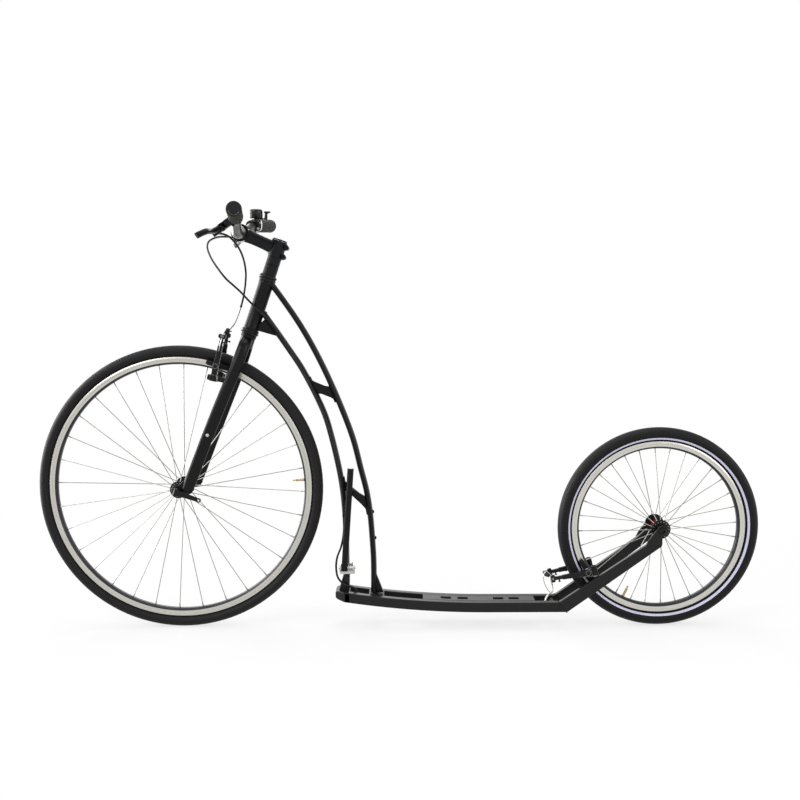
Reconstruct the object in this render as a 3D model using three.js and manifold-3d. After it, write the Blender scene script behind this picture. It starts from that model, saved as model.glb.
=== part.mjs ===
// Kick bike: a foot scooter with a large front wheel, a small rear wheel, two pairs of rim brakes,
// a folding kickstand and a bell, in millimetres.
// +X runs to the rear, +Z up and -Y is the rider's left. The origin is on the floor at mid length.
import * as THREE from "three";
import { mergeVertices } from "three/addons/utils/BufferGeometryUtils.js";
import Module from "manifold-3d";

const wasm = await Module();
wasm.setup();

// Layout of the whole bike
const frontWheelRadius = 343;
const frontTyreHeight = 27;
const rearWheelRadius = 242;
const rearTyreHeight = 33;
const wheelbase = 1152;
const steeringTiltDegrees = 19.3;
const forkRake = 39.5;
const clearance = 0.3;
const overrun = 4;
const weldDistance = 1e-3;
const frontRimRadius = frontWheelRadius - frontTyreHeight;
const rearRimRadius = rearWheelRadius - rearTyreHeight;

// Counts of flat faces on round pieces
const wheelSides = 40;
const collarSides = 18;
const pipeSides = 12;
const pinSides = 8;
const wireSides = 8;
const hexagonSides = 6;
const spokeSides = 4;
const innerTubeSides = 6;

// Counts of steps along curved pieces
const tyreOuterSteps = 8;
const tyreInnerSteps = 6;
const frameTubeSteps = 20;
const railSteps = 14;
const plateSteps = 8;
const crossBarSteps = 2;
const dropoutSteps = 8;
const forkLegSteps = 11;
const barBendSteps = 10;
const bladeSteps = 10;
const quickTipSteps = 6;
const upperHousingSteps = 26;
const lowerHousingSteps = 56;
const frontNoodleSteps = 10;
const rearNoodleSteps = 16;
const curveSamples = 200;

// Head tube, headset, spacers and stem, with heights measured along the steering axis
const tyreToCrownGap = 32;
const crownHeight = 29;
const headsetLowerHeight = 12.5;
const headTubeLength = 120;
const headsetUpperHeight = 15;
const lowerSpacerHeight = 24;
const upperSpacerHeight = 20;
const stemClampHeight = 40;
const topCapHeight = 4;
const crownTop = frontWheelRadius + tyreToCrownGap + crownHeight;
const steererRadius = 14.3;
const headTubeRadius = 18.5;
const headTubeWall = 2.5;
const headsetRadius = 20.5;
const headsetLip = 2.5;
const spacerRadius = 17.5;
const stemClampRadius = 18.8;
const stemExtensionRadius = 14.5;
const stemReach = 93.2;
const stemRise = 8;
const barClampRadius = 21;
const barClampWidth = 42;
const faceplateGap = 1.6;
const stemLugReach = 27;
const stemLugHalfWidth = 11;
const stemSlotWidth = 2;
const pinchBoltRadius = 3;
const pinchBoltHeadRadius = 5;
const pinchBoltHeadHeight = 5;
const pinchBoltReach = 21.5;
const pinchBoltHeightShares = [0.16, 0.74];

// Handlebar, grips and brake levers
const handlebarWidth = 596;
const handlebarRise = 41.4;
const handlebarSweep = 18.4;
const barCentreRadius = 15.9;
const barEndRadius = 11.1;
const barCentreLength = 84;
const barTaperLength = 34;
const gripLength = 130;
const gripRadius = 17;
const gripEndWall = 4;
const leverDropDegrees = 52.8;
const leverClampRadius = 16;
const leverClampWidth = 18;
const leverClampClearance = 1.7;
const leverToGripGap = 2.8;
const leverToBendGap = 5.65;
const leverBodyReach = 65;
const leverBodyHalfHeight = 8;
const leverBodyHalfWidth = 10;
const leverPivotReach = 38;
const leverPivotRadius = 2.4;
const leverEyeRadius = 6.5;
const leverEyeHalfHeight = 4.5;
const leverBladeHeight = 12;
const leverBladeThickness = 7;
const leverSpan = 104;
const leverTipReach = 82;
const barrelRadius = 4.6;
const barrelLength = 27;
const barrelReach = 59;
const barrelShoulderShare = 0.9;

// Bell on the right half of the handlebar
const bellPlaceShare = 0.915;
const bellRadius = 17;
const bellHeight = 22;
const bellWall = 1.8;
const bellLift = 20;
const bellSetback = 9;
const bellPostRadius = 3;
const bellBandWidth = 14;
const bellBandWall = 3;
const bellBandClearance = 1.3;
const bellPadShare = 0.5;
const bellSeatGap = 1.2;
const bellButtonRadius = 7.5;
const bellButtonHeight = 2.6;
const bellButtonReach = 28;
const bellArmHeight = 2.6;
const bellArmStartShare = 1.5;

// Fork
const forkLegLength = 29;
const forkLegWidth = 19;
const forkCrownRadius = 17;
const hubOverLockNuts = 100;
const dropoutThickness = 6;
const dropoutRadius = 13;
const forkLegSpread = 55.5;
const legBottomSetback = 16.8;
const legBottomHeight = 9;

// Rim brakes, shared by the front and the rear pair
const brakeArmLength = 100;
const brakeBarrelRadius = 8;
const brakeBarrelBack = 9;
const brakeBarrelFront = 8;
const brakeBossRadius = 4;
const brakeBoltRadius = 6;
const brakeBoltHeight = 4;
const brakeArmHalfDepth = 5.5;
const brakeHeadHalfLength = 6;
const brakeHeadHalfDepth = 7;
const linkReach = 17;
const linkHalfDepth = 4.5;
const brakePadLength = 56;
const brakePadHeight = 9;
const brakePadThickness = 9;
const brakePadGap = 1.9;
const brakePadPostRadius = 3.2;
const frontPivotAhead = 43;
const frontPivotInset = 33.5;
const frontPivotSpread = 42;
const frontPadReach = 29;
const frontArmTiltDegrees = 6.3;
const rearPivotInset = 22;
const rearPivotDegrees = 32.33;
const rearPadReach = 16;
const rearArmDropDegrees = 11.8;

// Wheels
const frontTyreWidth = 32;
const rearTyreWidth = 40;
const tyreWall = 2.6;
const rimDepth = 18;
const rimHalfWidth = 11;
const rimWall = 1.8;
const rimTrackHeight = 13;
const rimLipHalfWidth = 5;
const rimWellDepth = 7.5;
const beadDepth = 5;
const spokeRadius = 1;
const spokesPerSide = 16;
const spokeRimOffset = 2.3;
const hubFlangeOffset = 35.5;
const hubFlangeThickness = 3.4;
const frontFlangeRadius = 20.5;
const rearFlangeRadius = 23;
const flangeHoleInset = 3.5;
const hubBarrelRadius = 9.6;
const hubEndRadius = 8;
const hubStepLength = 2;
const axleRadius = 4.6;
const axleBoreRadius = 5;
const valveRadius = 3;
const valveReach = 46;
const innerTubeClearance = 1.2;
const innerTubeHeightShare = 0.94;
const innerTubeWidthShare = 0.86;
const axleNutRadius = 9;
const axleNutHeight = 9;
const camHousingHeight = 3.4;
const camBarrelRadius = 6;
const camBarrelHalfLength = 9;
const quickLeverLength = 63;
const quickLeverHalfWidth = 5.5;
const quickLeverThickness = 3.5;
const quickLeverHoleRadius = 2.6;
const quickLeverRootShare = 0.8;

// Frame tubes, deck and rear arms. The tubes' tops are given as shares of the head tube's length,
// and the deck's places from the tubes' feet in front and from the rear wheel behind.
const tubeThickness = 14.5;
const tubeWidth = 30;
const frontTubeTopShare = 0.4803;
const rearTubeTopShare = 1.0542;
const wheelToTubeGap = 55;
const tubeFootSpacing = 65.5;
const strutWidth = 14;
const bottleBossRadius = 4;
const bottleBossHeight = 3;
const bottleBossHeights = [281, 216.5];
const deckHeight = 64.8;
const deckCurveLength = 276.5;
const deckCurveRadius = 2300;
const railHeight = 24;
const railWidth = 19;
const deckHalfWidth = 40;
const noseTipAhead = 27;
const noseTipHalfWidth = 22;
const noseRise = 7;
const noseRearBehind = 8;
const railFrontAhead = 5;
const pedestalTopHeight = 128;
const pedestalLength = 21;
const middleBarAhead = 11.5;
const middleBarBehind = 25.5;
const crossBarHeight = 12;
const plateFrontBehind = 119.5;
const plateRearAhead = 55;
const plateThickness = 4;
const rearBarAhead = 11;
const rearBarRadius = 8;
const railToWheelGap = 1;
const railMitreLength = 20;
const armEndAhead = 0.5;
const armEndDepth = 24;
const armEndDrop = 13;
const armChamferAhead = 18;
const armChamferDrop = 21;
const armThickness = 14;
const armSplayDegrees = 3.7;
const gussetHeight = 46;
const gussetLength = 17;
const slotLengthShare = 0.096;
const slotHalfWidth = 9;
const frontTubeFootX = frontWheelRadius + wheelToTubeGap;
const rearTubeFootX = frontTubeFootX + tubeFootSpacing;
const deckCurveStart = rearTubeFootX + deckCurveLength;
const noseTipX = frontTubeFootX - noseTipAhead;
const noseRearX = frontTubeFootX + noseRearBehind;
const railFrontX = frontTubeFootX - railFrontAhead;
const middleBarFrontX = rearTubeFootX - middleBarAhead;
const middleBarRearX = rearTubeFootX + middleBarBehind;
const railRearTopX = wheelbase - rearWheelRadius - railToWheelGap;
const railRearBottomX = railRearTopX + railMitreLength;
const rearBarX = railRearTopX - rearBarAhead;
const plateFrontX = rearTubeFootX + plateFrontBehind;
const plateRearX = railRearTopX - plateRearAhead;
const armEndX = wheelbase - armEndAhead;
const armEndTop = rearWheelRadius - armEndDrop;
const armEndBottom = armEndTop - armEndDepth;
const armChamferX = wheelbase - armChamferAhead;
const armChamferHeight = rearWheelRadius - armChamferDrop;

// Kickstand
const standPivotAhead = 4;
const standPivotHeight = 149;
const standOffset = 27;
const standLength = 243;
const standLegRadius = 7.6;
const standTiltDegrees = 4;
const standEyeRadius = 9;
const standEyeLength = 15;
const standPinRadius = 4;
const standRootShare = 0.02;
const standPivotX = frontTubeFootX - standPivotAhead;
const standEarThickness = 4;
const springWireRadius = 0.9;
const springCoilRadius = 6.4;
const springPitch = 2.5;
const springCurls = 4;
const springStepsPerCurl = 8;
const springWireSides = 5;

// Cables
const housingRadius = 2.5;
const noodleRadius = 2;

const towardsHead = THREE.MathUtils.degToRad(steeringTiltDegrees);

// A closed three.js geometry as a solid that can be joined and cut, with its faces turned outwards.
function solidOf(geometry) {
  const plain = geometry.index ? geometry.toNonIndexed() : geometry.clone();
  plain.deleteAttribute("normal");
  plain.deleteAttribute("uv");
  const merged = mergeVertices(plain, weldDistance);
  const corners = merged.index.array;
  const kept = [];
  for (let i = 0; i < corners.length; i += 3) {
    const [a, b, c] = [corners[i], corners[i + 1], corners[i + 2]];
    if (a !== b && b !== c && c !== a) kept.push(a, b, c);
  }
  const build = (triVerts) =>
    new wasm.Manifold(
      new wasm.Mesh({
        numProp: 3,
        vertProperties: merged.attributes.position.array,
        triVerts: new Uint32Array(triVerts),
      }),
    );
  const made = build(kept);
  return made.volume() > 0 ? made : build(kept.reverse());
}

// All the given geometries or solids joined into one solid.
function joined(...pieces) {
  return pieces.map(asSolid).reduce((sum, piece) => sum.add(piece));
}

// The first piece with all the others cut out of it.
function cut(piece, ...cutters) {
  return cutters.map(asSolid).reduce((rest, cutter) => rest.subtract(cutter), asSolid(piece));
}

function asSolid(piece) {
  return piece.isBufferGeometry ? solidOf(piece) : piece;
}

// A solid back as a three.js geometry.
function geometryOf(solid) {
  const mesh = solid.getMesh();
  const positions = new Float32Array(mesh.numVert * 3);
  for (let i = 0; i < mesh.numVert; i++) {
    positions.set(mesh.vertProperties.subarray(i * mesh.numProp, i * mesh.numProp + 3), i * 3);
  }
  const geometry = new THREE.BufferGeometry();
  geometry.setAttribute("position", new THREE.BufferAttribute(positions, 3));
  geometry.setIndex(new THREE.BufferAttribute(new Uint32Array(mesh.triVerts), 1));
  geometry.computeVertexNormals();
  return geometry;
}

function vector(x, y, z) {
  return new THREE.Vector3(x, y, z);
}

function box(fromX, toX, fromY, toY, fromZ, toZ) {
  const geometry = new THREE.BoxGeometry(toX - fromX, toY - fromY, toZ - fromZ);
  return geometry.translate((fromX + toX) / 2, (fromY + toY) / 2, (fromZ + toZ) / 2);
}

// A round rod from one point to another.
function rod(from, to, radius, sides = pinSides, endRadius = radius) {
  const along = to.clone().sub(from);
  const geometry = new THREE.CylinderGeometry(endRadius, radius, along.length(), sides);
  const turn = new THREE.Quaternion().setFromUnitVectors(vector(0, 1, 0), along.clone().normalize());
  geometry.applyQuaternion(turn);
  return geometry.translate(...from.clone().add(to).divideScalar(2).toArray());
}

// Radius of a faceted bore that leaves the clearance all round a pin that turns in it.
function boreRadius(pinRadius, sides) {
  return (pinRadius + clearance) / Math.cos(Math.PI / sides);
}

// A profile of [radius, height] points turned about the Y axis.
function turned(profile, sides) {
  const points = profile.map(([radius, height]) => new THREE.Vector2(radius, height));
  return new THREE.LatheGeometry(points, sides);
}

// A ring about the Z axis from one height to another.
function ring(outerRadius, innerRadius, fromZ, toZ, sides) {
  const profile = [
    [innerRadius, fromZ],
    [outerRadius, fromZ],
    [outerRadius, toZ],
    [innerRadius, toZ],
    [innerRadius, fromZ],
  ];
  return turned(profile, sides).rotateX(Math.PI / 2);
}

function shapeOf(points, holes = []) {
  const shape = new THREE.Shape(points.map(([x, y]) => new THREE.Vector2(x, y)));
  for (const hole of holes) {
    shape.holes.push(new THREE.Path(hole.map(([x, y]) => new THREE.Vector2(x, y))));
  }
  return shape;
}

// A side outline of [x, z] points, given its width from one y to another.
function sidePlate(points, fromY, toY, holes = []) {
  const geometry = new THREE.ExtrudeGeometry(shapeOf(points, holes), {
    depth: toY - fromY,
    bevelEnabled: false,
  });
  return geometry.rotateX(Math.PI / 2).translate(0, toY, 0);
}

// A plan outline of [x, y] points, given its height from one z to another.
function floorPlate(points, fromZ, toZ, holes = []) {
  const geometry = new THREE.ExtrudeGeometry(shapeOf(points, holes), {
    depth: toZ - fromZ,
    bevelEnabled: false,
  });
  return geometry.translate(0, 0, fromZ);
}

// Points of an ellipse, for a section that is swept along a path.
function ovalSection(halfWidth, halfHeight, sides) {
  const points = [];
  for (let i = 0; i < sides; i++) {
    const angle = (2 * Math.PI * i) / sides;
    points.push([halfWidth * Math.cos(angle), halfHeight * Math.sin(angle)]);
  }
  return shapeOf(points);
}

// A section swept along a smooth path through the given points.
function swept(points, section, steps) {
  const path = new THREE.CatmullRomCurve3(points, false, "centripetal");
  return new THREE.ExtrudeGeometry(section, { steps, extrudePath: path, bevelEnabled: false });
}

function rectangle(fromX, toX, fromY, toY) {
  return [
    [fromX, fromY],
    [toX, fromY],
    [toX, toY],
    [fromX, toY],
  ];
}

// Materials
function metalMaterial(colour, roughness, metalness) {
  return new THREE.MeshStandardMaterial({ color: colour, roughness, metalness });
}

const blackPaint = () => metalMaterial(0x141416, 0.32, 0.2);
const blackAnodised = () => metalMaterial(0x17171a, 0.4, 0.7);
const greyAlloy = () => metalMaterial(0x6f7270, 0.35, 0.9);
const brightAlloy = () => metalMaterial(0xc9cacb, 0.28, 0.95);
const redAnodised = () => metalMaterial(0xa81c12, 0.3, 0.8);
const blackRubber = () => metalMaterial(0x17171a, 0.75, 0);
const blackPlastic = () => metalMaterial(0x1b1b1d, 0.5, 0);

function part(name, piece, material) {
  const mesh = new THREE.Mesh(geometryOf(asSolid(piece)), material);
  mesh.name = name;
  return mesh;
}

// The steering frame has its origin at the foot of the perpendicular from the front axle to the
// steering axis, its z along the axis and its x square to it, towards the rear.
const steeringOrigin = vector(
  forkRake * Math.cos(towardsHead),
  0,
  frontWheelRadius - forkRake * Math.sin(towardsHead),
);

function fromSteering(x, y, z) {
  return vector(x, y, z).applyAxisAngle(vector(0, 1, 0), towardsHead).add(steeringOrigin);
}

const headTubeBottom = crownTop + clearance + headsetLowerHeight;
const headTubeTop = headTubeBottom + clearance + headTubeLength;
const headsetTop = headTubeTop + clearance + headsetUpperHeight;
const lowerSpacerTop = headsetTop + clearance + lowerSpacerHeight;
const stemBottom = lowerSpacerTop + clearance + upperSpacerHeight;
const stemTop = stemBottom + clearance + stemClampHeight;
const stemMiddle = (stemBottom + stemTop) / 2;
const barHeight = stemMiddle + stemRise;

// A piece given in the steering frame, moved to the frame of the whole bike.
function onSteeringAxis(geometry) {
  return geometry.rotateY(towardsHead).translate(...steeringOrigin.toArray());
}

function headTube() {
  const bottom = headTubeBottom + clearance;
  const inner = headTubeRadius - headTubeWall;
  return onSteeringAxis(ring(headTubeRadius, inner, bottom, headTubeTop, collarSides));
}

// The space of the head tube and of the headset above it, which no frame tube enters.
function headSpace() {
  const core = rod(
    vector(0, 0, headTubeBottom - tubeWidth),
    vector(0, 0, headTubeTop),
    headTubeRadius + clearance,
    collarSides,
  );
  const above = rod(
    vector(0, 0, headTubeTop),
    vector(0, 0, headsetTop + tubeWidth),
    headsetRadius + headsetLip * 2,
    collarSides,
  );
  return onSteeringAxis(geometryOf(joined(core, above)));
}

function headsetCup(fromHeight, toHeight, lipAtTop) {
  const lipTop = lipAtTop ? toHeight : fromHeight + headsetLip * 2;
  const lipBottom = lipAtTop ? toHeight - headsetLip * 2 : fromHeight;
  const profile = [
    [steererRadius + clearance, fromHeight],
    [headsetRadius, fromHeight],
    [headsetRadius, lipBottom],
    [headsetRadius + headsetLip / 2, (lipBottom + lipTop) / 2],
    [headsetRadius, lipTop],
    [headsetRadius, toHeight],
    [steererRadius + clearance, toHeight],
    [steererRadius + clearance, fromHeight],
  ];
  const outline = profile.filter(([radius, height], i) =>
    i === 0 || radius !== profile[i - 1][0] || height !== profile[i - 1][1],
  );
  return onSteeringAxis(turned(outline, collarSides).rotateX(Math.PI / 2));
}

// Points of a frame tube between its head and its foot, as shares of its run in x and in z.
const frontTubeShares = [
  [0, 0],
  [0.132, 0.058],
  [0.349, 0.157],
  [0.509, 0.235],
  [0.75, 0.391],
  [0.829, 0.473],
  [0.925, 0.608],
  [0.964, 0.687],
  [0.985, 0.763],
  [0.995, 0.839],
  [1, 1],
];
const rearTubeShares = [
  [0, 0],
  [0.061, 0.027],
  [0.315, 0.148],
  [0.54, 0.286],
  [0.794, 0.489],
  [0.885, 0.604],
  [0.936, 0.671],
  [0.967, 0.737],
  [0.99, 0.831],
  [1, 0.896],
  [1, 1],
];

function tubePoints(top, foot, shares) {
  return shares.map(([alongX, alongZ]) =>
    vector(top.x + (foot.x - top.x) * alongX, 0, top.z + (foot.z - top.z) * alongZ),
  );
}

// A point on the steering axis, at a share of the head tube's length from its foot.
function headTubeAt(share) {
  return fromSteering(0, 0, headTubeBottom + clearance + headTubeLength * share);
}

const frontTubePoints = tubePoints(
  headTubeAt(frontTubeTopShare),
  vector(frontTubeFootX, 0, pedestalTopHeight + clearance),
  frontTubeShares,
);
const rearTubePoints = tubePoints(
  headTubeAt(rearTubeTopShare),
  vector(rearTubeFootX, 0, railTop(rearTubeFootX)),
  rearTubeShares,
);

function frameTube(points, extra) {
  const section = ovalSection(tubeWidth / 2 + extra, tubeThickness / 2 + extra, pipeSides);
  return swept(points, section, frameTubeSteps);
}

// The x of a frame tube's centre line at a height.
function tubeX(points, height) {
  const path = new THREE.CatmullRomCurve3(points, false, "centripetal");
  const samples = path.getPoints(curveSamples);
  const nearest = samples.reduce((best, point) =>
    Math.abs(point.z - height) < Math.abs(best.z - height) ? point : best,
  );
  return nearest.x;
}

function frontTube() {
  const corner = fromSteering(0, 0, headTubeBottom + headTubeWall);
  const back = fromSteering(headTubeRadius, 0, headTubeBottom + headTubeWall);
  const low = back.z - tubeThickness;
  const high = back.z + tubeWidth;
  const gusset = sidePlate(
    [
      [corner.x, corner.z],
      [back.x, back.z],
      [tubeX(frontTubePoints, low), low],
      [tubeX(frontTubePoints, high), high],
    ],
    -strutWidth / 2,
    strutWidth / 2,
  );
  return cut(joined(frameTube(frontTubePoints, 0), gusset), headSpace());
}

function rearTube() {
  const foot = railTop(rearTubeFootX) + clearance;
  const back = rearTubeFootX + tubeThickness / 2;
  const gusset = sidePlate(
    [
      [rearTubeFootX, foot],
      [back + gussetLength, foot],
      [back, foot + gussetHeight],
      [rearTubeFootX, foot + gussetHeight],
    ],
    -strutWidth / 2,
    strutWidth / 2,
  );
  const bosses = bottleBossHeights.map((height) => {
    const x = tubeX(rearTubePoints, height);
    const rear = vector(x + tubeThickness / 2 + bottleBossHeight, 0, height);
    return rod(vector(x, 0, height), rear, bottleBossRadius);
  });
  const deck = sidePlate(
    deckOutline(middleBarFrontX, middleBarRearX, -clearance, railHeight, crossBarSteps),
    -tubeWidth,
    tubeWidth,
  );
  return cut(joined(frameTube(rearTubePoints, 0), gusset, ...bosses), headSpace(), deck);
}

// The point on a tube's centre line at a share of the drop from its top to its foot.
function tubeCorner(points, share) {
  const top = points[0].z;
  const foot = points[points.length - 1].z;
  const height = top + (foot - top) * share;
  return [tubeX(points, height), height];
}

// A strut between the two tubes, its corners on their centre lines at shares of their drops.
function strut([frontUpper, frontLower, rearUpper, rearLower]) {
  const plate = sidePlate(
    [
      tubeCorner(frontTubePoints, frontUpper),
      tubeCorner(frontTubePoints, frontLower),
      tubeCorner(rearTubePoints, rearLower),
      tubeCorner(rearTubePoints, rearUpper),
    ],
    -strutWidth / 2,
    strutWidth / 2,
  );
  return cut(plate, frameTube(frontTubePoints, clearance), frameTube(rearTubePoints, clearance));
}

const upperStrutShares = [0.2601, 0.3186, 0.3401, 0.3861];
const lowerStrutShares = [0.6341, 0.6742, 0.6947, 0.7446];

// Height of the rails' top face, which curves up towards the nose.
function railTop(x) {
  const run = Math.max(deckCurveStart - x, 0);
  return deckHeight + deckCurveRadius - Math.sqrt(deckCurveRadius ** 2 - run ** 2);
}

// Side outline of a strip that follows the deck between two places.
function deckOutline(fromX, toX, topDrop, bottomDrop, steps) {
  const top = [];
  const bottom = [];
  for (let i = 0; i <= steps; i++) {
    const x = fromX + ((toX - fromX) * i) / steps;
    top.push([x, railTop(x) - topDrop]);
    bottom.push([x, railTop(x) - bottomDrop]);
  }
  return [...bottom, ...top.reverse()];
}

function deckRail(side) {
  const outer = side * deckHalfWidth;
  const inner = side * (deckHalfWidth - railWidth);
  const rail = sidePlate(
    deckOutline(railFrontX - overrun, railRearBottomX, 0, railHeight, railSteps),
    Math.min(inner, outer),
    Math.max(inner, outer),
  );
  const mitre = sidePlate(
    [
      [railRearTopX, deckHeight + overrun],
      [railRearTopX, deckHeight],
      [railRearBottomX, deckHeight - railHeight],
      [railRearBottomX + overrun, deckHeight - railHeight],
      [railRearBottomX + overrun, deckHeight + overrun],
    ],
    -deckHalfWidth - overrun,
    deckHalfWidth + overrun,
  );
  return cut(rail, mitre);
}

// The nose: a tapered block seen from above, cut to its rising underside, with the tube's pedestal.
function deckNose() {
  const top = railTop(railFrontX);
  const plan = floorPlate(
    [
      [noseTipX, -noseTipHalfWidth],
      [railFrontX, -deckHalfWidth],
      [noseRearX, -deckHalfWidth],
      [noseRearX, deckHalfWidth],
      [railFrontX, deckHalfWidth],
      [noseTipX, noseTipHalfWidth],
    ],
    top - railHeight - overrun,
    top + overrun,
  );
  const side = sidePlate(
    [
      [noseTipX, top - railHeight + noseRise],
      [railFrontX, top - railHeight],
      [noseRearX, railTop(noseRearX) - railHeight],
      [noseRearX, railTop(noseRearX)],
      [railFrontX, top],
      [noseTipX + noseRise, top],
    ],
    -deckHalfWidth - overrun,
    deckHalfWidth + overrun,
  );
  const pedestalFront = frontTubeFootX - tubeThickness / 2;
  const pedestal = sidePlate(
    [
      [noseTipX + noseRise, top - overrun],
      [pedestalFront + pedestalLength - tubeThickness / 2, top - overrun],
      [pedestalFront + tubeThickness, pedestalTopHeight],
      [pedestalFront - clearance, pedestalTopHeight],
    ],
    -tubeWidth / 2,
    tubeWidth / 2,
  );
  return joined(solidOf(plan).intersect(solidOf(side)), pedestal);
}

function deckBar(fromX, toX) {
  const half = deckHalfWidth - railWidth + overrun;
  return sidePlate(deckOutline(fromX, toX, 0, crossBarHeight, crossBarSteps), -half, half);
}

function deckFrame() {
  const half = deckHalfWidth - railWidth + overrun;
  const rearBarZ = deckHeight - railHeight / 2;
  return joined(
    deckRail(-1),
    deckRail(1),
    deckNose(),
    deckBar(middleBarFrontX, middleBarRearX),
    rod(vector(rearBarX, -half, rearBarZ), vector(rearBarX, half, rearBarZ), rearBarRadius),
  );
}

// Places of the slots in the deck plate, as shares of its length.
const slotShares = [0.16, 0.31, 0.63, 0.77];

function deckPlate() {
  const half = deckHalfWidth - railWidth - clearance;
  const line = deckOutline(plateFrontX, plateRearX, 0, plateThickness, plateSteps);
  const length = plateRearX - plateFrontX;
  const slots = slotShares.map((share) => {
    const x = plateFrontX + length * share;
    const outline = rectangle(x, x + length * slotLengthShare, -slotHalfWidth, slotHalfWidth);
    return floorPlate(outline, deckHeight - railHeight, deckHeight + railHeight);
  });
  return cut(sidePlate(line, -half, half), ...slots);
}

// Direction of the rear brake's arms and of their pivots, seen from the side.
const rearArmDrop = THREE.MathUtils.degToRad(rearArmDropDegrees);
const rearArmLine = vector(-Math.cos(rearArmDrop), 0, -Math.sin(rearArmDrop));
const rearPivotLine = vector(-Math.sin(rearArmDrop), 0, Math.cos(rearArmDrop));
const rearPivotAngle = THREE.MathUtils.degToRad(rearPivotDegrees);
const rearPivotX = wheelbase - (rearRimRadius - rearPivotInset) * Math.cos(rearPivotAngle);
const rearPivotHeight =
  rearWheelRadius - (rearRimRadius - rearPivotInset) * Math.sin(rearPivotAngle);
const rearPivotSpread =
  deckHalfWidth - armThickness / 2 +
  (rearPivotX - railRearTopX) * Math.tan(THREE.MathUtils.degToRad(armSplayDegrees));

const rearPivot = vector(rearPivotX, rearPivotSpread, rearPivotHeight);

function rearArm(side) {
  const mitreShift = clearance * Math.SQRT2;
  const beam = sidePlate(
    [
      [mitreShift, deckHeight],
      [railRearBottomX + mitreShift - railRearTopX, deckHeight - railHeight],
      [armEndX - railRearTopX, armEndBottom],
      [armEndX - railRearTopX, armEndTop],
      [armChamferX - railRearTopX, armEndTop],
      [armChamferX - railRearTopX, armChamferHeight],
    ],
    -armThickness,
    0,
  );
  beam.rotateZ(THREE.MathUtils.degToRad(armSplayDegrees));
  beam.translate(railRearTopX, deckHalfWidth, 0);
  const plateInside = hubOverLockNuts / 2 + clearance;
  const plate = rearDropout(plateInside, plateInside + dropoutThickness);
  const boss = brakeBoss(rearPivot, rearPivotLine, brakeBarrelBack + armThickness);
  const hole = rod(
    vector(wheelbase, 0, rearWheelRadius),
    vector(wheelbase, hubOverLockNuts, rearWheelRadius),
    axleBoreRadius,
  );
  const whole = cut(joined(beam, plate, boss), hole);
  return side > 0 ? whole : geometryOf(whole).scale(1, -1, 1);
}

// Angles of an arc that starts and ends at the given shares of half a turn.
function arcAngles([from, to], steps) {
  const angles = [];
  for (let i = 0; i <= steps; i++) angles.push(Math.PI * (from + ((to - from) * i) / steps));
  return angles;
}

const rearDropoutArcShares = [0.85, -0.5];
const forkDropoutArcShares = [0.55, 1.65];
const quickTipArcShares = [-0.5, 0.5];

// The plate that carries the rear axle, seen from the side, with a round end about the axle.
function rearDropout(fromY, toY) {
  const outline = [
    [armChamferX - gussetHeight / 2, armChamferHeight - gussetLength],
    [armChamferX - gussetLength, armChamferHeight - overrun],
  ];
  for (const angle of arcAngles(rearDropoutArcShares, dropoutSteps)) {
    outline.push([
      wheelbase + (dropoutRadius + clearance) * Math.cos(angle),
      rearWheelRadius + dropoutRadius * Math.sin(angle),
    ]);
  }
  outline.push([armEndX, armEndTop], [armEndX, armEndBottom + overrun]);
  return sidePlate(outline, fromY, toY);
}

// A brake pivot: its stub through the arm's barrel, the shoulder behind it and the bolt's head.
function brakeBoss(centre, line, shoulder) {
  const at = (distance) => centre.clone().addScaledVector(line, distance);
  const back = brakeBarrelBack + clearance;
  const front = brakeBarrelFront + clearance;
  return joined(
    rod(at(-back - shoulder), at(-back), brakeBoltRadius),
    rod(at(-back - shoulder / 2), at(front + brakeBoltHeight / 2), brakeBossRadius),
    rod(at(front), at(front + brakeBoltHeight), brakeBoltRadius, hexagonSides),
  );
}

// The matrix of a brake arm's own frame: x along the arm, y outboard and z along the pivot.
function brakeFrame(centre, armLine, pivotLine, side) {
  const matrix = new THREE.Matrix4().makeBasis(armLine, vector(0, side, 0), pivotLine);
  return matrix.setPosition(centre.x, side * centre.y, centre.z);
}

// Outline of a brake arm, as shares of its length, of its half depth and of its inboard lean.
const brakeArmShares = [
  [0, -1, 0],
  [0.333, -1, 0],
  [1, -0.8, 1],
  [1, 0.8, 1],
  [0.5, 0.7, 0],
  [0.2, 1.2, 0],
  [0, 1, 0],
];

// One arm of a rim brake. Its head leans inboard, over the tyre, and on the right-hand arm it
// carries the link that holds the noodle.
function brakeArm(withLink) {
  const half = brakeArmHalfDepth;
  const lean = brakeBarrelRadius;
  const blade = shapeOf(
    brakeArmShares.map(([along, deep, inboard]) => [
      brakeArmLength * along,
      half * deep - lean * inboard,
    ]),
  );
  const arm = new THREE.ExtrudeGeometry(blade, { depth: half * 2, bevelEnabled: false });
  arm.translate(0, 0, -half);
  const head = box(
    brakeArmLength - brakeHeadHalfLength,
    brakeArmLength + brakeHeadHalfLength,
    -lean - brakeHeadHalfLength,
    -lean + brakeHeadHalfLength,
    -brakeHeadHalfDepth,
    brakeHeadHalfDepth,
  );
  const barrel = rod(
    vector(0, 0, -brakeBarrelBack),
    vector(0, 0, brakeBarrelFront),
    brakeBarrelRadius,
    pipeSides,
  );
  const bore = rod(
    vector(0, 0, -brakeBarrelBack - overrun),
    vector(0, 0, brakeBarrelFront + overrun),
    boreRadius(brakeBossRadius, pinSides),
  );
  const arms = withLink ? [arm, brakeLink()] : [arm];
  return cut(joined(...arms, head, barrel), bore);
}

function brakeLink() {
  return box(
    brakeArmLength,
    brakeArmLength + linkReach,
    -brakeBarrelRadius - brakeHeadHalfLength,
    -brakeBarrelRadius + brakeHeadHalfLength,
    -linkHalfDepth,
    linkHalfDepth,
  );
}

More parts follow.
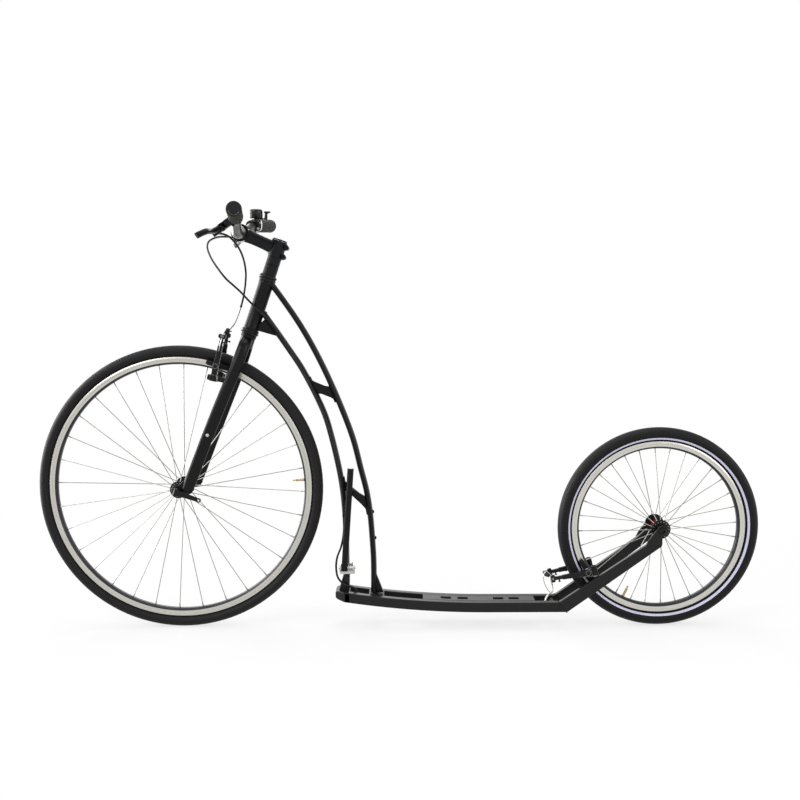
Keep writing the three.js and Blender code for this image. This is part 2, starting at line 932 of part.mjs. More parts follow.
// Where the noodle meets the outboard face of the link, in the frame the pivot is given in.
function noodleSeat(centre, armLine, outboard) {
  return centre
    .clone()
    .addScaledVector(armLine, brakeArmLength + linkReach - linkHalfDepth)
    .add(vector(0, -brakeBarrelRadius + brakeHeadHalfLength + outboard, 0));
}

// The turn that lays a pad along the rim, for a pad at a reach up the arm of a given pivot.
function padTilt(reach, centre, armLine, pivotLine, axleCentre) {
  const radial = centre.clone().setY(0).addScaledVector(armLine, reach).sub(axleCentre);
  const tangent = vector(-radial.z, 0, radial.x).normalize();
  return Math.atan(tangent.dot(armLine) / tangent.dot(pivotLine));
}

function brakePad(reach, spread, tilt) {
  const face = -(spread - rimHalfWidth - brakePadGap);
  const block = box(
    -brakePadHeight / 2,
    brakePadHeight / 2,
    face,
    face + brakePadThickness,
    -brakePadLength / 2,
    brakePadLength / 2,
  );
  block.rotateY(tilt).translate(reach, 0, 0);
  const armInside = -brakeArmHalfDepth - clearance;
  const post = rod(
    vector(reach, face + brakePadThickness / 2, 0),
    vector(reach, armInside, 0),
    brakePadPostRadius,
  );
  const washer = rod(
    vector(reach, (face + brakePadThickness + armInside) / 2, 0),
    vector(reach, armInside, 0),
    brakePadPostRadius * 2,
  );
  return joined(block, post, washer);
}

function brakePieces(name, centre, armLine, pivotLine, padReach, axleCentre) {
  const pieces = [];
  const tilt = padTilt(padReach, centre, armLine, pivotLine, axleCentre);
  for (const [sideName, side] of [["left", -1], ["right", 1]]) {
    const frame = brakeFrame(centre, armLine, pivotLine, side);
    const nut = rod(
      vector(padReach, brakeArmHalfDepth / 2, 0),
      vector(padReach, brakeArmHalfDepth * 2, 0),
      brakeBoltRadius,
      hexagonSides,
    );
    const arm = geometryOf(joined(brakeArm(side > 0), nut)).applyMatrix4(frame);
    const pad = geometryOf(brakePad(padReach, centre.y, tilt)).applyMatrix4(frame);
    pieces.push(part(`${name}_brake_arm_${sideName}`, arm, blackAnodised()));
    pieces.push(part(`${name}_brake_pad_${sideName}`, pad, blackRubber()));
  }
  return pieces;
}

// Fork: steerer, crown, two legs that spread below it, dropouts and brake pivots.
const frontArmTilt = THREE.MathUtils.degToRad(frontArmTiltDegrees);
const frontArmLine = vector(-Math.sin(frontArmTilt), 0, Math.cos(frontArmTilt));
const frontPivotLine = vector(-Math.cos(frontArmTilt), 0, -Math.sin(frontArmTilt));
const frontPivot = vector(
  -frontPivotAhead,
  frontPivotSpread,
  frontRimRadius - frontPivotInset,
);

// Places along a fork leg, as shares of its height, of its spread and of its setback.
const legShares = [
  [0.97, 0.16, 0],
  [0.93, 0.5, 0],
  [0.84, 0.68, 0.02],
  [0.7, 0.8, 0.2],
  [0.5, 0.93, 0.48],
  [0.3, 0.99, 0.72],
  [0, 1, 1],
];

// The section's first half size lies fore and aft.
function forkLeg(side) {
  const points = legShares.map(([height, spread, setback]) =>
    vector(
      -legBottomSetback * setback,
      side * forkLegSpread * spread,
      legBottomHeight + (crownTop - legBottomHeight) * height,
    ),
  );
  const section = ovalSection(forkLegLength / 2, forkLegWidth / 2, pipeSides);
  return swept(points, section, forkLegSteps);
}

function forkDropout(side) {
  const inside = side * (hubOverLockNuts / 2 + clearance);
  const outside = side * (hubOverLockNuts / 2 + clearance + dropoutThickness);
  const outline = arcAngles(forkDropoutArcShares, dropoutSteps).map((angle) => [
    -forkRake + dropoutRadius * Math.cos(angle),
    dropoutRadius * Math.sin(angle),
  ]);
  const rootHalf = forkLegLength / 3;
  outline.push([-legBottomSetback + rootHalf, legBottomHeight]);
  outline.push([-legBottomSetback + rootHalf, legBottomHeight + forkLegLength]);
  outline.push([-legBottomSetback - rootHalf, legBottomHeight + forkLegLength]);
  return sidePlate(outline, Math.min(inside, outside), Math.max(inside, outside));
}

function fork() {
  const steerer = rod(
    vector(0, 0, crownTop - crownHeight),
    vector(0, 0, stemTop - overrun / 2),
    steererRadius,
    collarSides,
  );
  const crown = rod(
    vector(0, 0, crownTop - crownHeight),
    vector(0, 0, crownTop),
    forkCrownRadius,
    collarSides,
  );
  const bore = rod(
    vector(-forkRake, -hubOverLockNuts, 0),
    vector(-forkRake, hubOverLockNuts, 0),
    axleBoreRadius,
  );
  const bosses = [-1, 1].map((side) =>
    brakeBoss(
      vector(frontPivot.x, side * frontPivot.y, frontPivot.z),
      frontPivotLine,
      frontPivotAhead / 2,
    ),
  );
  const legs = [forkLeg(-1), forkLeg(1), forkDropout(-1), forkDropout(1)];
  return cut(joined(steerer, crown, ...legs, ...bosses), bore);
}

function spacer(fromHeight, toHeight) {
  return ring(spacerRadius, steererRadius + clearance, fromHeight, toHeight, collarSides);
}

// Stem: the clamp on the steerer, the extension and the rear half of the bar clamp.
function stemBlank() {
  const bottom = stemBottom + clearance;
  const clamp = rod(vector(0, 0, bottom), vector(0, 0, stemTop), stemClampRadius, collarSides);
  const lug = box(
    stemLugReach / 2,
    stemLugReach,
    -stemLugHalfWidth,
    stemLugHalfWidth,
    bottom,
    stemTop,
  );
  const extension = rod(
    vector(0, 0, stemMiddle),
    vector(-stemReach, 0, barHeight),
    stemExtensionRadius,
    pipeSides,
  );
  const barClamp = rod(
    vector(-stemReach, -barClampWidth / 2, barHeight),
    vector(-stemReach, barClampWidth / 2, barHeight),
    barClampRadius,
    collarSides,
  );
  return joined(clamp, lug, extension, barClamp);
}

function stemBores() {
  const bar = rod(
    vector(-stemReach, -barClampWidth, barHeight),
    vector(-stemReach, barClampWidth, barHeight),
    barCentreRadius + clearance,
    collarSides,
  );
  const steerer = rod(
    vector(0, 0, stemBottom - overrun),
    vector(0, 0, stemTop + overrun),
    steererRadius + clearance,
    collarSides,
  );
  const slot = box(
    steererRadius / 2,
    stemLugReach + overrun,
    -stemSlotWidth / 2,
    stemSlotWidth / 2,
    stemBottom - overrun,
    stemTop + overrun,
  );
  const holes = pinchBoltHeights.map((height) =>
    rod(
      vector(pinchBoltReach, -stemLugHalfWidth - overrun, height),
      vector(pinchBoltReach, stemLugHalfWidth + overrun, height),
      pinchBoltRadius + clearance,
    ),
  );
  return [bar, steerer, slot, ...holes];
}

const pinchBoltHeights = pinchBoltHeightShares.map(
  (share) => stemBottom + clearance + stemClampHeight * share,
);

// The space ahead of the split in the bar clamp, grown towards the stem by the given gap.
function faceplateSpace(gap) {
  const split = -stemReach + gap;
  return box(
    split - barClampRadius * 2,
    split,
    -barClampWidth,
    barClampWidth,
    barHeight - barClampRadius * 2,
    barHeight + barClampRadius * 2,
  );
}

function stem() {
  return cut(stemBlank(), ...stemBores(), faceplateSpace(faceplateGap / 2));
}

function faceplate() {
  const front = solidOf(faceplateSpace(-faceplateGap / 2));
  return cut(stemBlank(), ...stemBores()).intersect(front);
}

function topCap() {
  const bottom = stemTop + clearance;
  const rimEdge = bottom + topCapHeight;
  return joined(
    rod(vector(0, 0, bottom), vector(0, 0, rimEdge), spacerRadius, collarSides),
    rod(
      vector(0, 0, rimEdge - overrun / 2),
      vector(0, 0, rimEdge + topCapHeight / 2),
      pinchBoltHeadRadius,
      hexagonSides,
    ),
  );
}

function pinchBolt(height) {
  const end = stemLugHalfWidth + clearance;
  return joined(
    rod(
      vector(pinchBoltReach, -end - overrun / 2, height),
      vector(pinchBoltReach, end + overrun / 2, height),
      pinchBoltRadius,
    ),
    rod(
      vector(pinchBoltReach, -end - pinchBoltHeadHeight, height),
      vector(pinchBoltReach, -end, height),
      pinchBoltHeadRadius,
    ),
  );
}

// Handlebar: the bend of its right half, as shares of the way out to the straight part, of the
// rise and of the sweep.
const barBendShares = [
  [0, 0, 0],
  [0.2526, 0, 0],
  [0.4211, 0.03, 0],
  [0.6105, 0.22, 0.02],
  [0.8126, 0.51, 0.05],
  [1, 0.66, 0.1],
];
const barHalf = handlebarWidth / 2;
const leverPlace = barHalf - gripLength - leverToGripGap - leverClampWidth / 2;
const barBendWidth = leverPlace - leverClampWidth / 2 - leverToBendGap;
const bellPlace = barBendWidth * bellPlaceShare;

function barPoint(across, up, back, side) {
  return vector(-stemReach + handlebarSweep * back, side * across, barHeight + handlebarRise * up);
}

function barBend(side) {
  return barBendShares.map(([across, up, back]) =>
    barPoint(barBendWidth * across, up, back, side),
  );
}

// The straight part of the bar, under the grip and the lever's clamp.
const barStraightStart = barBend(1).pop();
const barEnd = barPoint(barHalf, 1, 1, 1);

function handlebar() {
  const half = barCentreLength / 2;
  const profile = [
    [0, -half - barTaperLength],
    [barEndRadius, -half - barTaperLength],
    [barCentreRadius, -half],
    [barCentreRadius, half],
    [barEndRadius, half + barTaperLength],
    [0, half + barTaperLength],
  ];
  const centre = turned(profile, collarSides).translate(-stemReach, 0, barHeight);
  const section = ovalSection(barEndRadius, barEndRadius, pipeSides);
  const straight = rod(barAt(barStraightStart.y - overrun), barEnd, barEndRadius, pipeSides);
  const sides = [-1, 1].map((side) =>
    joined(
      swept(barBend(side), section, barBendSteps),
      onSide(straight.clone(), side),
    ),
  );
  return joined(centre, ...sides);
}

// A point on the curved part of the right half of the bar, at a distance from the middle.
function barCurveAt(across) {
  const curve = new THREE.CatmullRomCurve3(barBend(1), false, "centripetal");
  return curve
    .getPoints(curveSamples)
    .reduce((best, point) =>
      Math.abs(point.y - across) < Math.abs(best.y - across) ? point : best,
    );
}

// A point on the straight part of the right half of the bar, at a distance from the middle.
function barAt(across) {
  const share = (across - barStraightStart.y) / (barEnd.y - barStraightStart.y);
  return barStraightStart.clone().lerp(barEnd, share);
}

function onSide(geometry, side) {
  return side > 0 ? geometry : geometry.scale(1, -1, 1);
}

function grip(side) {
  const end = barAt(barHalf + gripEndWall + clearance);
  const inner = barAt(barHalf - gripLength);
  const bore = rod(
    barAt(barHalf - gripLength - overrun),
    barAt(barHalf + clearance),
    boreRadius(barEndRadius, pipeSides),
    pipeSides,
  );
  return onSide(geometryOf(cut(rod(inner, end, gripRadius, collarSides), bore)), side);
}

// The frame of a brake lever: its x runs from the bar towards the fingers, its y outboard.
const leverDrop = THREE.MathUtils.degToRad(leverDropDegrees);
const leverLine = vector(-Math.cos(leverDrop), 0, -Math.sin(leverDrop));
const leverPivotLine = vector(Math.sin(leverDrop), 0, -Math.cos(leverDrop));

function toLever(geometry, side) {
  const matrix = new THREE.Matrix4().makeBasis(leverLine, vector(0, 1, 0), leverPivotLine);
  matrix.setPosition(barAt(leverPlace));
  return onSide(geometry.applyMatrix4(matrix), side);
}

function leverBody(side) {
  const halfHeight = leverBodyHalfHeight;
  const halfWidth = leverBodyHalfWidth;
  const clamp = rod(
    vector(0, -leverClampWidth / 2, 0),
    vector(0, leverClampWidth / 2, 0),
    leverClampRadius,
    collarSides,
  );
  const block = box(
    leverClampRadius / 2,
    leverBodyReach,
    -halfWidth,
    halfWidth,
    -halfHeight,
    halfHeight,
  );
  const barrel = rod(
    vector(barrelReach, -halfWidth - barrelLength, 0),
    vector(barrelReach, -halfWidth + clearance, 0),
    barrelRadius,
    pinSides,
  );
  const shoulder = rod(
    vector(barrelReach, -halfWidth - barrelLength / 2, 0),
    vector(barrelReach, -halfWidth + clearance, 0),
    leverBodyHalfHeight * barrelShoulderShare,
    pinSides,
  );
  const room = leverEyeHalfHeight + clearance;
  const eyeSpace = box(
    leverPivotReach - leverEyeRadius - overrun,
    leverBodyReach + overrun,
    -leverEyeRadius - clearance,
    halfWidth + overrun,
    -room,
    room,
  );
  const pin = rod(
    vector(leverPivotReach, 0, -halfHeight),
    vector(leverPivotReach, 0, halfHeight),
    leverPivotRadius,
  );
  const barBore = rod(
    vector(0, -leverClampWidth, 0),
    vector(0, leverClampWidth, 0),
    barEndRadius + leverClampClearance,
    collarSides,
  );
  const body = joined(cut(joined(clamp, block, barrel, shoulder), eyeSpace), pin);
  return toLever(geometryOf(cut(body, barBore)), side);
}

// Places along the lever's blade, as shares of its span and of its reach beyond the pivot.
const bladeShares = [
  [0, 0],
  [0.1, 0.3],
  [0.25, 0.43],
  [0.5, 0.49],
  [0.7, 0.55],
  [0.86, 0.72],
  [1, 1],
];

function leverBlade(side) {
  const points = bladeShares.map(([across, out]) =>
    vector(leverPivotReach + (leverTipReach - leverPivotReach) * out, leverSpan * across, 0),
  );
  const blade = swept(
    points,
    ovalSection(leverBladeHeight / 2, leverBladeThickness / 2, pinSides),
    bladeSteps,
  );
  const eye = rod(
    vector(leverPivotReach, 0, -leverEyeHalfHeight),
    vector(leverPivotReach, 0, leverEyeHalfHeight),
    leverEyeRadius,
    pipeSides,
  );
  const room = leverEyeHalfHeight;
  const body = leverBodyHalfWidth + clearance;
  const slimming = [-1, 1].map((face) =>
    box(
      0,
      leverTipReach,
      -leverSpan,
      body + leverEyeRadius / 2,
      Math.min(face * room, face * leverBladeHeight),
      Math.max(face * room, face * leverBladeHeight),
    ),
  );
  const bore = rod(
    vector(leverPivotReach, 0, -leverBladeHeight),
    vector(leverPivotReach, 0, leverBladeHeight),
    boreRadius(leverPivotRadius, pinSides),
  );
  return toLever(geometryOf(cut(joined(blade, eye), bore, ...slimming)), side);
}

// Bell: its own frame stands upright in the world, behind the bar's line by its setback.
function toBell(geometry) {
  const upright = geometry.translate(bellSetback, 0, 0).rotateY(-towardsHead);
  return upright.translate(...barCurveAt(bellPlace).toArray());
}

// A rod along the bar under the bell.
function alongBellBar(halfLength, radius) {
  const from = barCurveAt(bellPlace - halfLength);
  const to = barCurveAt(bellPlace + halfLength);
  return rod(from, to, radius, collarSides);
}

function bellDome() {
  const inner = bellRadius - bellWall;
  const top = bellLift + bellHeight;
  const profile = [
    [0, top],
    [bellRadius - bellWall, top],
    [bellRadius, top - bellWall],
    [bellRadius, bellLift],
    [inner, bellLift],
    [inner, top - bellWall],
    [0, top - bellWall],
  ];
  return toBell(turned(profile, collarSides).rotateX(Math.PI / 2));
}

function bellBase() {
  const bore = barEndRadius + bellBandClearance;
  const outer = bore + bellBandWall;
  const seat = bellLift - bellArmHeight - bellSeatGap;
  const pad = rod(
    vector(0, 0, outer / 2),
    vector(0, 0, seat),
    bellRadius * bellPadShare,
    collarSides,
  );
  const post = rod(
    vector(0, 0, outer),
    vector(0, 0, bellLift + bellHeight - bellWall - clearance),
    bellPostRadius,
  );
  const upright = toBell(geometryOf(joined(pad, post)));
  const band = alongBellBar(bellBandWidth / 2, outer);
  return cut(joined(upright, band), alongBellBar(bellBandWidth, bore));
}

function bellButton() {
  const bottom = bellLift - bellArmHeight - clearance;
  const top = bellLift - clearance;
  const eye = ring(bellPostRadius * 2, bellPostRadius + clearance, bottom, top, pipeSides);
  const arm = box(
    bellPostRadius * bellArmStartShare,
    bellButtonReach,
    -bellPostRadius,
    bellPostRadius,
    bottom,
    top,
  );
  const head = bellLift + bellHeight / 2 + bellButtonHeight;
  const stalk = rod(
    vector(bellButtonReach - bellPostRadius, 0, bottom),
    vector(bellButtonReach - bellPostRadius, 0, head),
    bellPostRadius,
  );
  const button = rod(
    vector(bellButtonReach, 0, head),
    vector(bellButtonReach, 0, head + bellButtonHeight),
    bellButtonRadius,
    pipeSides,
  );
  return toBell(geometryOf(joined(eye, arm, stalk, button)));
}

// Wheels. Each is made about its own axle, which lies along Y.
function tyre(radius, rimRadius, width) {
  const middle = (radius + rimRadius + clearance) / 2;
  const halfHeight = (radius - rimRadius - clearance) / 2;
  const beadOutside = rimHalfWidth - rimWall - clearance;
  const beadInside = beadOutside - tyreWall;
  const beadRadius = rimRadius - beadDepth;
  const wallArc = (wall, steps, sign) => {
    const points = [];
    const opening = Math.asin((beadOutside - wall) / (width / 2 - wall));
    for (let i = 0; i <= steps; i++) {
      const angle = opening + ((2 * Math.PI - 2 * opening) * i) / steps;
      points.push([
        middle - (halfHeight - wall) * Math.cos(angle),
        sign * (width / 2 - wall) * Math.sin(angle),
      ]);
    }
    return points;
  };
  const profile = [
    [beadRadius, beadOutside],
    ...wallArc(0, tyreOuterSteps, 1),
    [beadRadius, -beadOutside],
    [beadRadius, -beadInside],
    ...wallArc(tyreWall, tyreInnerSteps, -1),
    [beadRadius, beadInside],
    [beadRadius, beadOutside],
  ];
  return turned(profile, wheelSides);
}

function innerTube(radius, rimRadius, width, valveDegrees) {
  const outer = radius - tyreWall - clearance * 2;
  const inner = rimRadius + tyreWall * 2;
  const middle = (outer + inner) / 2;
  const halfHeight = ((outer - inner) / 2) * innerTubeHeightShare;
  const halfWidth = (width / 2 - tyreWall - innerTubeClearance) * innerTubeWidthShare;
  const profile = [];
  for (let i = 0; i <= innerTubeSides; i++) {
    const angle = (2 * Math.PI * i) / innerTubeSides;
    profile.push([middle + halfHeight * Math.cos(angle), halfWidth * Math.sin(angle)]);
  }
  const stem = rod(
    vector(0, 0, rimRadius - valveReach),
    vector(0, 0, middle),
    valveRadius,
    wireSides,
    valveRadius,
  ).rotateY(THREE.MathUtils.degToRad(valveDegrees));
  return joined(turned(profile, wheelSides), stem);
}

function rim(rimRadius, valveDegrees) {
  const inside = rimHalfWidth - rimWall;
  const well = rimRadius - rimWellDepth;
  const lip = rimRadius - rimDepth;
  const track = rimRadius - rimTrackHeight;
  const profile = [
    [rimRadius, rimHalfWidth],
    [rimRadius, inside],
    [well, inside],
    [well, -inside],
    [rimRadius, -inside],
    [rimRadius, -rimHalfWidth],
    [track, -rimHalfWidth],
    [lip, -rimLipHalfWidth],
    [lip, rimLipHalfWidth],
    [track, rimHalfWidth],
    [rimRadius, rimHalfWidth],
  ];
  const hole = rod(
    vector(0, 0, lip - overrun),
    vector(0, 0, rimRadius + overrun),
    valveRadius + clearance,
    wireSides,
  ).rotateY(THREE.MathUtils.degToRad(valveDegrees));
  return cut(turned(profile, wheelSides), hole);
}

// The spokes of one side run straight out from the hub's flange, which they are hooked into.
function spokes(side, rimRadius, flangeRadius, startDegrees) {
  const flangeY = side * hubFlangeOffset;
  const half = hubFlangeThickness / 2;
  const flange = ring(
    flangeRadius,
    hubBarrelRadius + clearance,
    -flangeY - half,
    -flangeY + half,
    collarSides,
  ).rotateX(-Math.PI / 2);
  flange.scale(1, -1, 1);
  const end = (rimRadius - rimDepth) * Math.cos(Math.PI / wheelSides) - clearance;
  const pieces = [];
  for (let i = 0; i < spokesPerSide; i++) {
    const turn = THREE.MathUtils.degToRad(startDegrees) + (2 * Math.PI * i) / spokesPerSide;
    const from = vector(0, flangeY, flangeRadius - flangeHoleInset);
    const to = vector(0, side * spokeRimOffset, end);
    pieces.push(rod(from, to, spokeRadius, spokeSides).rotateY(turn));
  }
  return joined(flange, ...pieces);
}

function hub() {
  const flangeEdge = hubFlangeOffset + hubFlangeThickness;
  const end = hubOverLockNuts / 2;
  const profile = [
    [axleBoreRadius, -end],
    [hubEndRadius, -end],
    [hubEndRadius, -flangeEdge - hubStepLength],
    [hubBarrelRadius, -flangeEdge],
    [hubBarrelRadius, flangeEdge],
    [hubEndRadius, flangeEdge + hubStepLength],
    [hubEndRadius, end],
    [axleBoreRadius, end],
    [axleBoreRadius, -end],
  ];
  return turned(profile, collarSides);
}

function axle(leftNutHeight, rightNutHeight) {
  const seat = hubOverLockNuts / 2 + clearance * 2 + dropoutThickness;
  return joined(
    rod(
      vector(0, -seat - leftNutHeight + clearance, 0),
      vector(0, seat + rightNutHeight - clearance, 0),
      axleRadius,
    ),
    rod(vector(0, -seat - leftNutHeight, 0), vector(0, -seat, 0), axleNutRadius, pipeSides),
    rod(vector(0, seat, 0), vector(0, seat + rightNutHeight, 0), axleNutRadius, pipeSides),
  );
}

// The quick release lever, shut: it lies along +X beside the fork, about a cam that stands upright.
function quickLever() {
  const seat = hubOverLockNuts / 2 + clearance * 2 + dropoutThickness + camHousingHeight;
  const camY = -seat - clearance - camBarrelRadius;
  const cam = rod(
    vector(0, camY, -camBarrelHalfLength),
    vector(0, camY, camBarrelHalfLength),
    camBarrelRadius,
    pipeSides,
  );
  const outer = camY - camBarrelRadius;
  const half = quickLeverHalfWidth;
  const tipX = quickLeverLength - half;
  const tip = arcAngles(quickTipArcShares, quickTipSteps).map((angle) => [
    tipX + half * Math.cos(angle),
    half * Math.sin(angle),
  ]);
  const hole = [];
  for (let i = 0; i < pinSides; i++) {
    const angle = -(2 * Math.PI * i) / pinSides;
    hole.push([
      tipX + quickLeverHoleRadius * Math.cos(angle),
      quickLeverHoleRadius * Math.sin(angle),
    ]);
  }
  const root = camBarrelHalfLength * quickLeverRootShare;
  const outline = [[0, -root], ...tip, [0, root]];
  const blade = sidePlate(outline, outer, outer + quickLeverThickness, [hole]);
  return joined(cam, blade);
}

// Kickstand. Its pin lies along X, on the left of the front tube.
const standTilt = THREE.MathUtils.degToRad(standTiltDegrees);

function standBracket() {
  const eyeHalf = standEyeLength / 2 + clearance;
  const back = -tubeWidth / 2 - clearance;
  const front = standPivotX - eyeHalf - standEarThickness;
  const rear = standPivotX + eyeHalf + springPitch * (springCurls + 1) + standEarThickness;
  const seat = box(
    front,
    rear,
    -standOffset + standEyeRadius + clearance * 2,
    back,
    standPivotHeight - standEyeRadius * 2,
    standPivotHeight + standEyeRadius,
  );
  const ears = [
    [front, front + standEarThickness],
    [rear - standEarThickness, rear],
  ].map(([from, to]) =>
    joined(
      rod(
        vector(from, -standOffset, standPivotHeight),
        vector(to, -standOffset, standPivotHeight),
        standEyeRadius,
        pipeSides,
      ),
      box(from, to, -standOffset, back, standPivotHeight - standEyeRadius,
        standPivotHeight + standEyeRadius),
    ),
  );
  const pin = rod(
    vector(front - overrun / 2, -standOffset, standPivotHeight),
    vector(rear + overrun / 2, -standOffset, standPivotHeight),
    standPinRadius,
    wireSides,
  );
  return joined(seat, ...ears, pin);
}

function standLeg() {
  const half = standEyeLength / 2;
  const eye = rod(vector(-half, 0, 0), vector(half, 0, 0), standEyeRadius, pipeSides);
  const foot = vector(standLength * Math.sin(standTilt), 0, standLength * Math.cos(standTilt));
  const root = foot.clone().multiplyScalar(standRootShare);
  const leg = rod(root, foot, standLegRadius, pipeSides);
  const bore = rod(
    vector(-standEyeLength, 0, 0),
    vector(standEyeLength, 0, 0),
    boreRadius(standPinRadius, wireSides),
    wireSides,
  );
  return cut(joined(leg, eye), bore).translate([standPivotX, -standOffset, standPivotHeight]);
}

// The kickstand's torsion spring: one unbroken wire wound about the pin, with a straight end at
// each side. Its rings are worked out in its own frame, x along the pin.
function springLine() {
  const points = [];
  const lead = springCoilRadius * 2;
  const steps = springCurls * springStepsPerCurl;
  const start = -(springPitch * springCurls) / 2;
  points.push(vector(start, springCoilRadius, -lead));
  for (let i = 0; i <= steps; i++) {
    const angle = (2 * Math.PI * i) / springStepsPerCurl;
    points.push(
      vector(
        start + (springPitch * i) / springStepsPerCurl,
        springCoilRadius * Math.cos(angle),
        springCoilRadius * Math.sin(angle),
      ),
    );
  }
  points.push(vector(-start, springCoilRadius, lead));
  return points;
}

function tubeThrough(points, radius, sides) {
  const positions = [];
  const faces = [];
  points.forEach((point, i) => {
    const before = points[Math.max(i - 1, 0)];
    const after = points[Math.min(i + 1, points.length - 1)];
    const along = after.clone().sub(before).normalize();
    const across = vector(1, 0, 0).cross(along).normalize();
    const up = along.clone().cross(across).normalize();
    for (let k = 0; k < sides; k++) {
      const angle = (2 * Math.PI * k) / sides;
      const corner = point
        .clone()
        .addScaledVector(across, radius * Math.cos(angle))
        .addScaledVector(up, radius * Math.sin(angle));
      positions.push(...corner.toArray());
    }
  });
  for (let i = 0; i + 1 < points.length; i++) {
    for (let k = 0; k < sides; k++) {
      const a = i * sides + k;
      const b = i * sides + ((k + 1) % sides);
      faces.push(a, b, a + sides, b, b + sides, a + sides);
    }
  }
  const last = (points.length - 1) * sides;
  for (let k = 1; k + 1 < sides; k++) {
    faces.push(0, k + 1, k, last, last + k, last + k + 1);
  }
  const geometry = new THREE.BufferGeometry();
  geometry.setAttribute("position", new THREE.Float32BufferAttribute(positions, 3));
  geometry.setIndex(faces);
  return geometry;
}

function standSpring() {
  const wire = tubeThrough(springLine(), springWireRadius, springWireSides);
  const middle = standEyeLength / 2 + (springPitch * (springCurls + 1)) / 2;
  return wire.translate(standPivotX + middle, -standOffset, standPivotHeight);
}

// The least gap between two turns of the spring, measured on its points.
function springGap() {
  const points = springLine();
  let least = Infinity;
  points.forEach((point, i) => {
    points.slice(i + springStepsPerCurl / 2).forEach((other) => {
      least = Math.min(least, point.distanceTo(other));
    });
  });
  return least - 2 * springWireRadius;
}

// Cable routes. Each list was chosen by hand. The first three are in the steering frame.
const frontCableRoute = [
  [-124.8, -108, 606.8],
  [-116, -94, 609.5],
  [-103.5, -78, 608],
  [-82.6, -40, 592],
  [-67.8, 0, 567.8],
  [-56, 31, 534.5],
  [-48.7, 54, 485],
  [-47.6, 63, 455],
  [-47.9, 65, 440],
  [-48.4, 63.5, 424],
];
const rearCableLoopRoute = [
  [-126, 108, 606.8],
  [-131.5, 101, 607],
  [-141, 90, 604],
  [-154.8, 62, 596.3],
  [-163.9, 32, 582.5],
  [-160, 8, 568],
  [-142, -15, 549.5],
  [-116, -36, 531.5],
  [-86, -46.3, 513.5],
  [-64.5, -36.3, 503.2],
];
const rearCableNeckRoute = [
  [-63.7, -35.9, 502.8],
  [-45, -27, 493.5],
  [-24.5, -23.8, 482],
  [-4, -23.4, 471.7],
  [16.4, -22.8, 461.4],
  [45.2, -20.4, 446.9],
];

// This one is in the frame of the whole bike.
const rearCableFrameRoute = [
  [267.3, -18.6, 677],
  [299.8, -18.3, 625],
  [347, -18.3, 524],
  [364.5, -18.3, 473],
  [383.5, -18.3, 386],
  [391.5, -18.3, 313],
  [392.5, -18.5, 237],
  [386, -20.5, 200],
  [376, -22.5, 173],
  [373.5, -23.5, 148],
  [378, -25, 124],
  [394, -25, 106.5],
  [416, -14, 96],
  [432, -9, 74],
  [450, -8, 58],
  [520, -8, 51],
];

// The next two are measured from the point on the floor under the rear axle.
const rearCableTailRoute = [
  [-392, -8, 46],
  [-332, -5.5, 46.3],
  [-302, 0.3, 47.6],
  [-276, 6.5, 50],
];
const rearNoodleRoute = [
  [-274.8, 6.8, 50.2],
  [-269, 10.5, 55],
  [-263, 16, 65.5],
  [-257, 21, 68.5],
  [-252, 29, 70],
  [-248, 38, 71.5],
  [-247, 46, 78],
  [-248, 50, 90],
  [-252, 50, 108],
];
const frontNoodleRoute = [
  [-48.6, 63.3, 422.9],
  [-49.8, 61.5, 411.5],
  [-52, 56, 402.5],
];

function route(points, startX = 0) {
  return points.map(([x, y, z]) => vector(startX + x, y, z));
}

// Where a cable leaves the barrel of a brake lever.
function leverCableExit(side) {
  const exit = barAt(leverPlace).addScaledVector(leverLine, barrelReach);
  const inboard = leverBodyHalfWidth + barrelLength + clearance;
  return vector(exit.x, side * (exit.y - inboard), exit.z);
}

// A noodle's line ends square on the link's outboard face.
function noodleLine(points, centre, armLine) {
  const nearSeat = noodleSeat(centre, armLine, brakeHeadHalfLength);
  return [...points, nearSeat, noodleSeat(centre, armLine, clearance)];
}

function cable(points, radius, steps) {
  return swept(points, ovalSection(radius, radius, wireSides), steps);
}

const frontHousingLine = [leverCableExit(-1), ...route(frontCableRoute)];
const rearLoopLine = [leverCableExit(1), ...route(rearCableLoopRoute)];
const rearHousingLine = [
  ...rearCableNeckRoute.map(([x, y, z]) => fromSteering(x, y, z)),
  ...route(rearCableFrameRoute),
  ...route(rearCableTailRoute, wheelbase),
];
const frontNoodleLine = noodleLine(route(frontNoodleRoute), frontPivot, frontArmLine);
const rearNoodleLine = noodleLine(route(rearNoodleRoute, wheelbase), rearPivot, rearArmLine);

// Assembly
const bike = new THREE.Group();
bike.position.x = -(wheelbase + rearWheelRadius - frontWheelRadius) / 2;

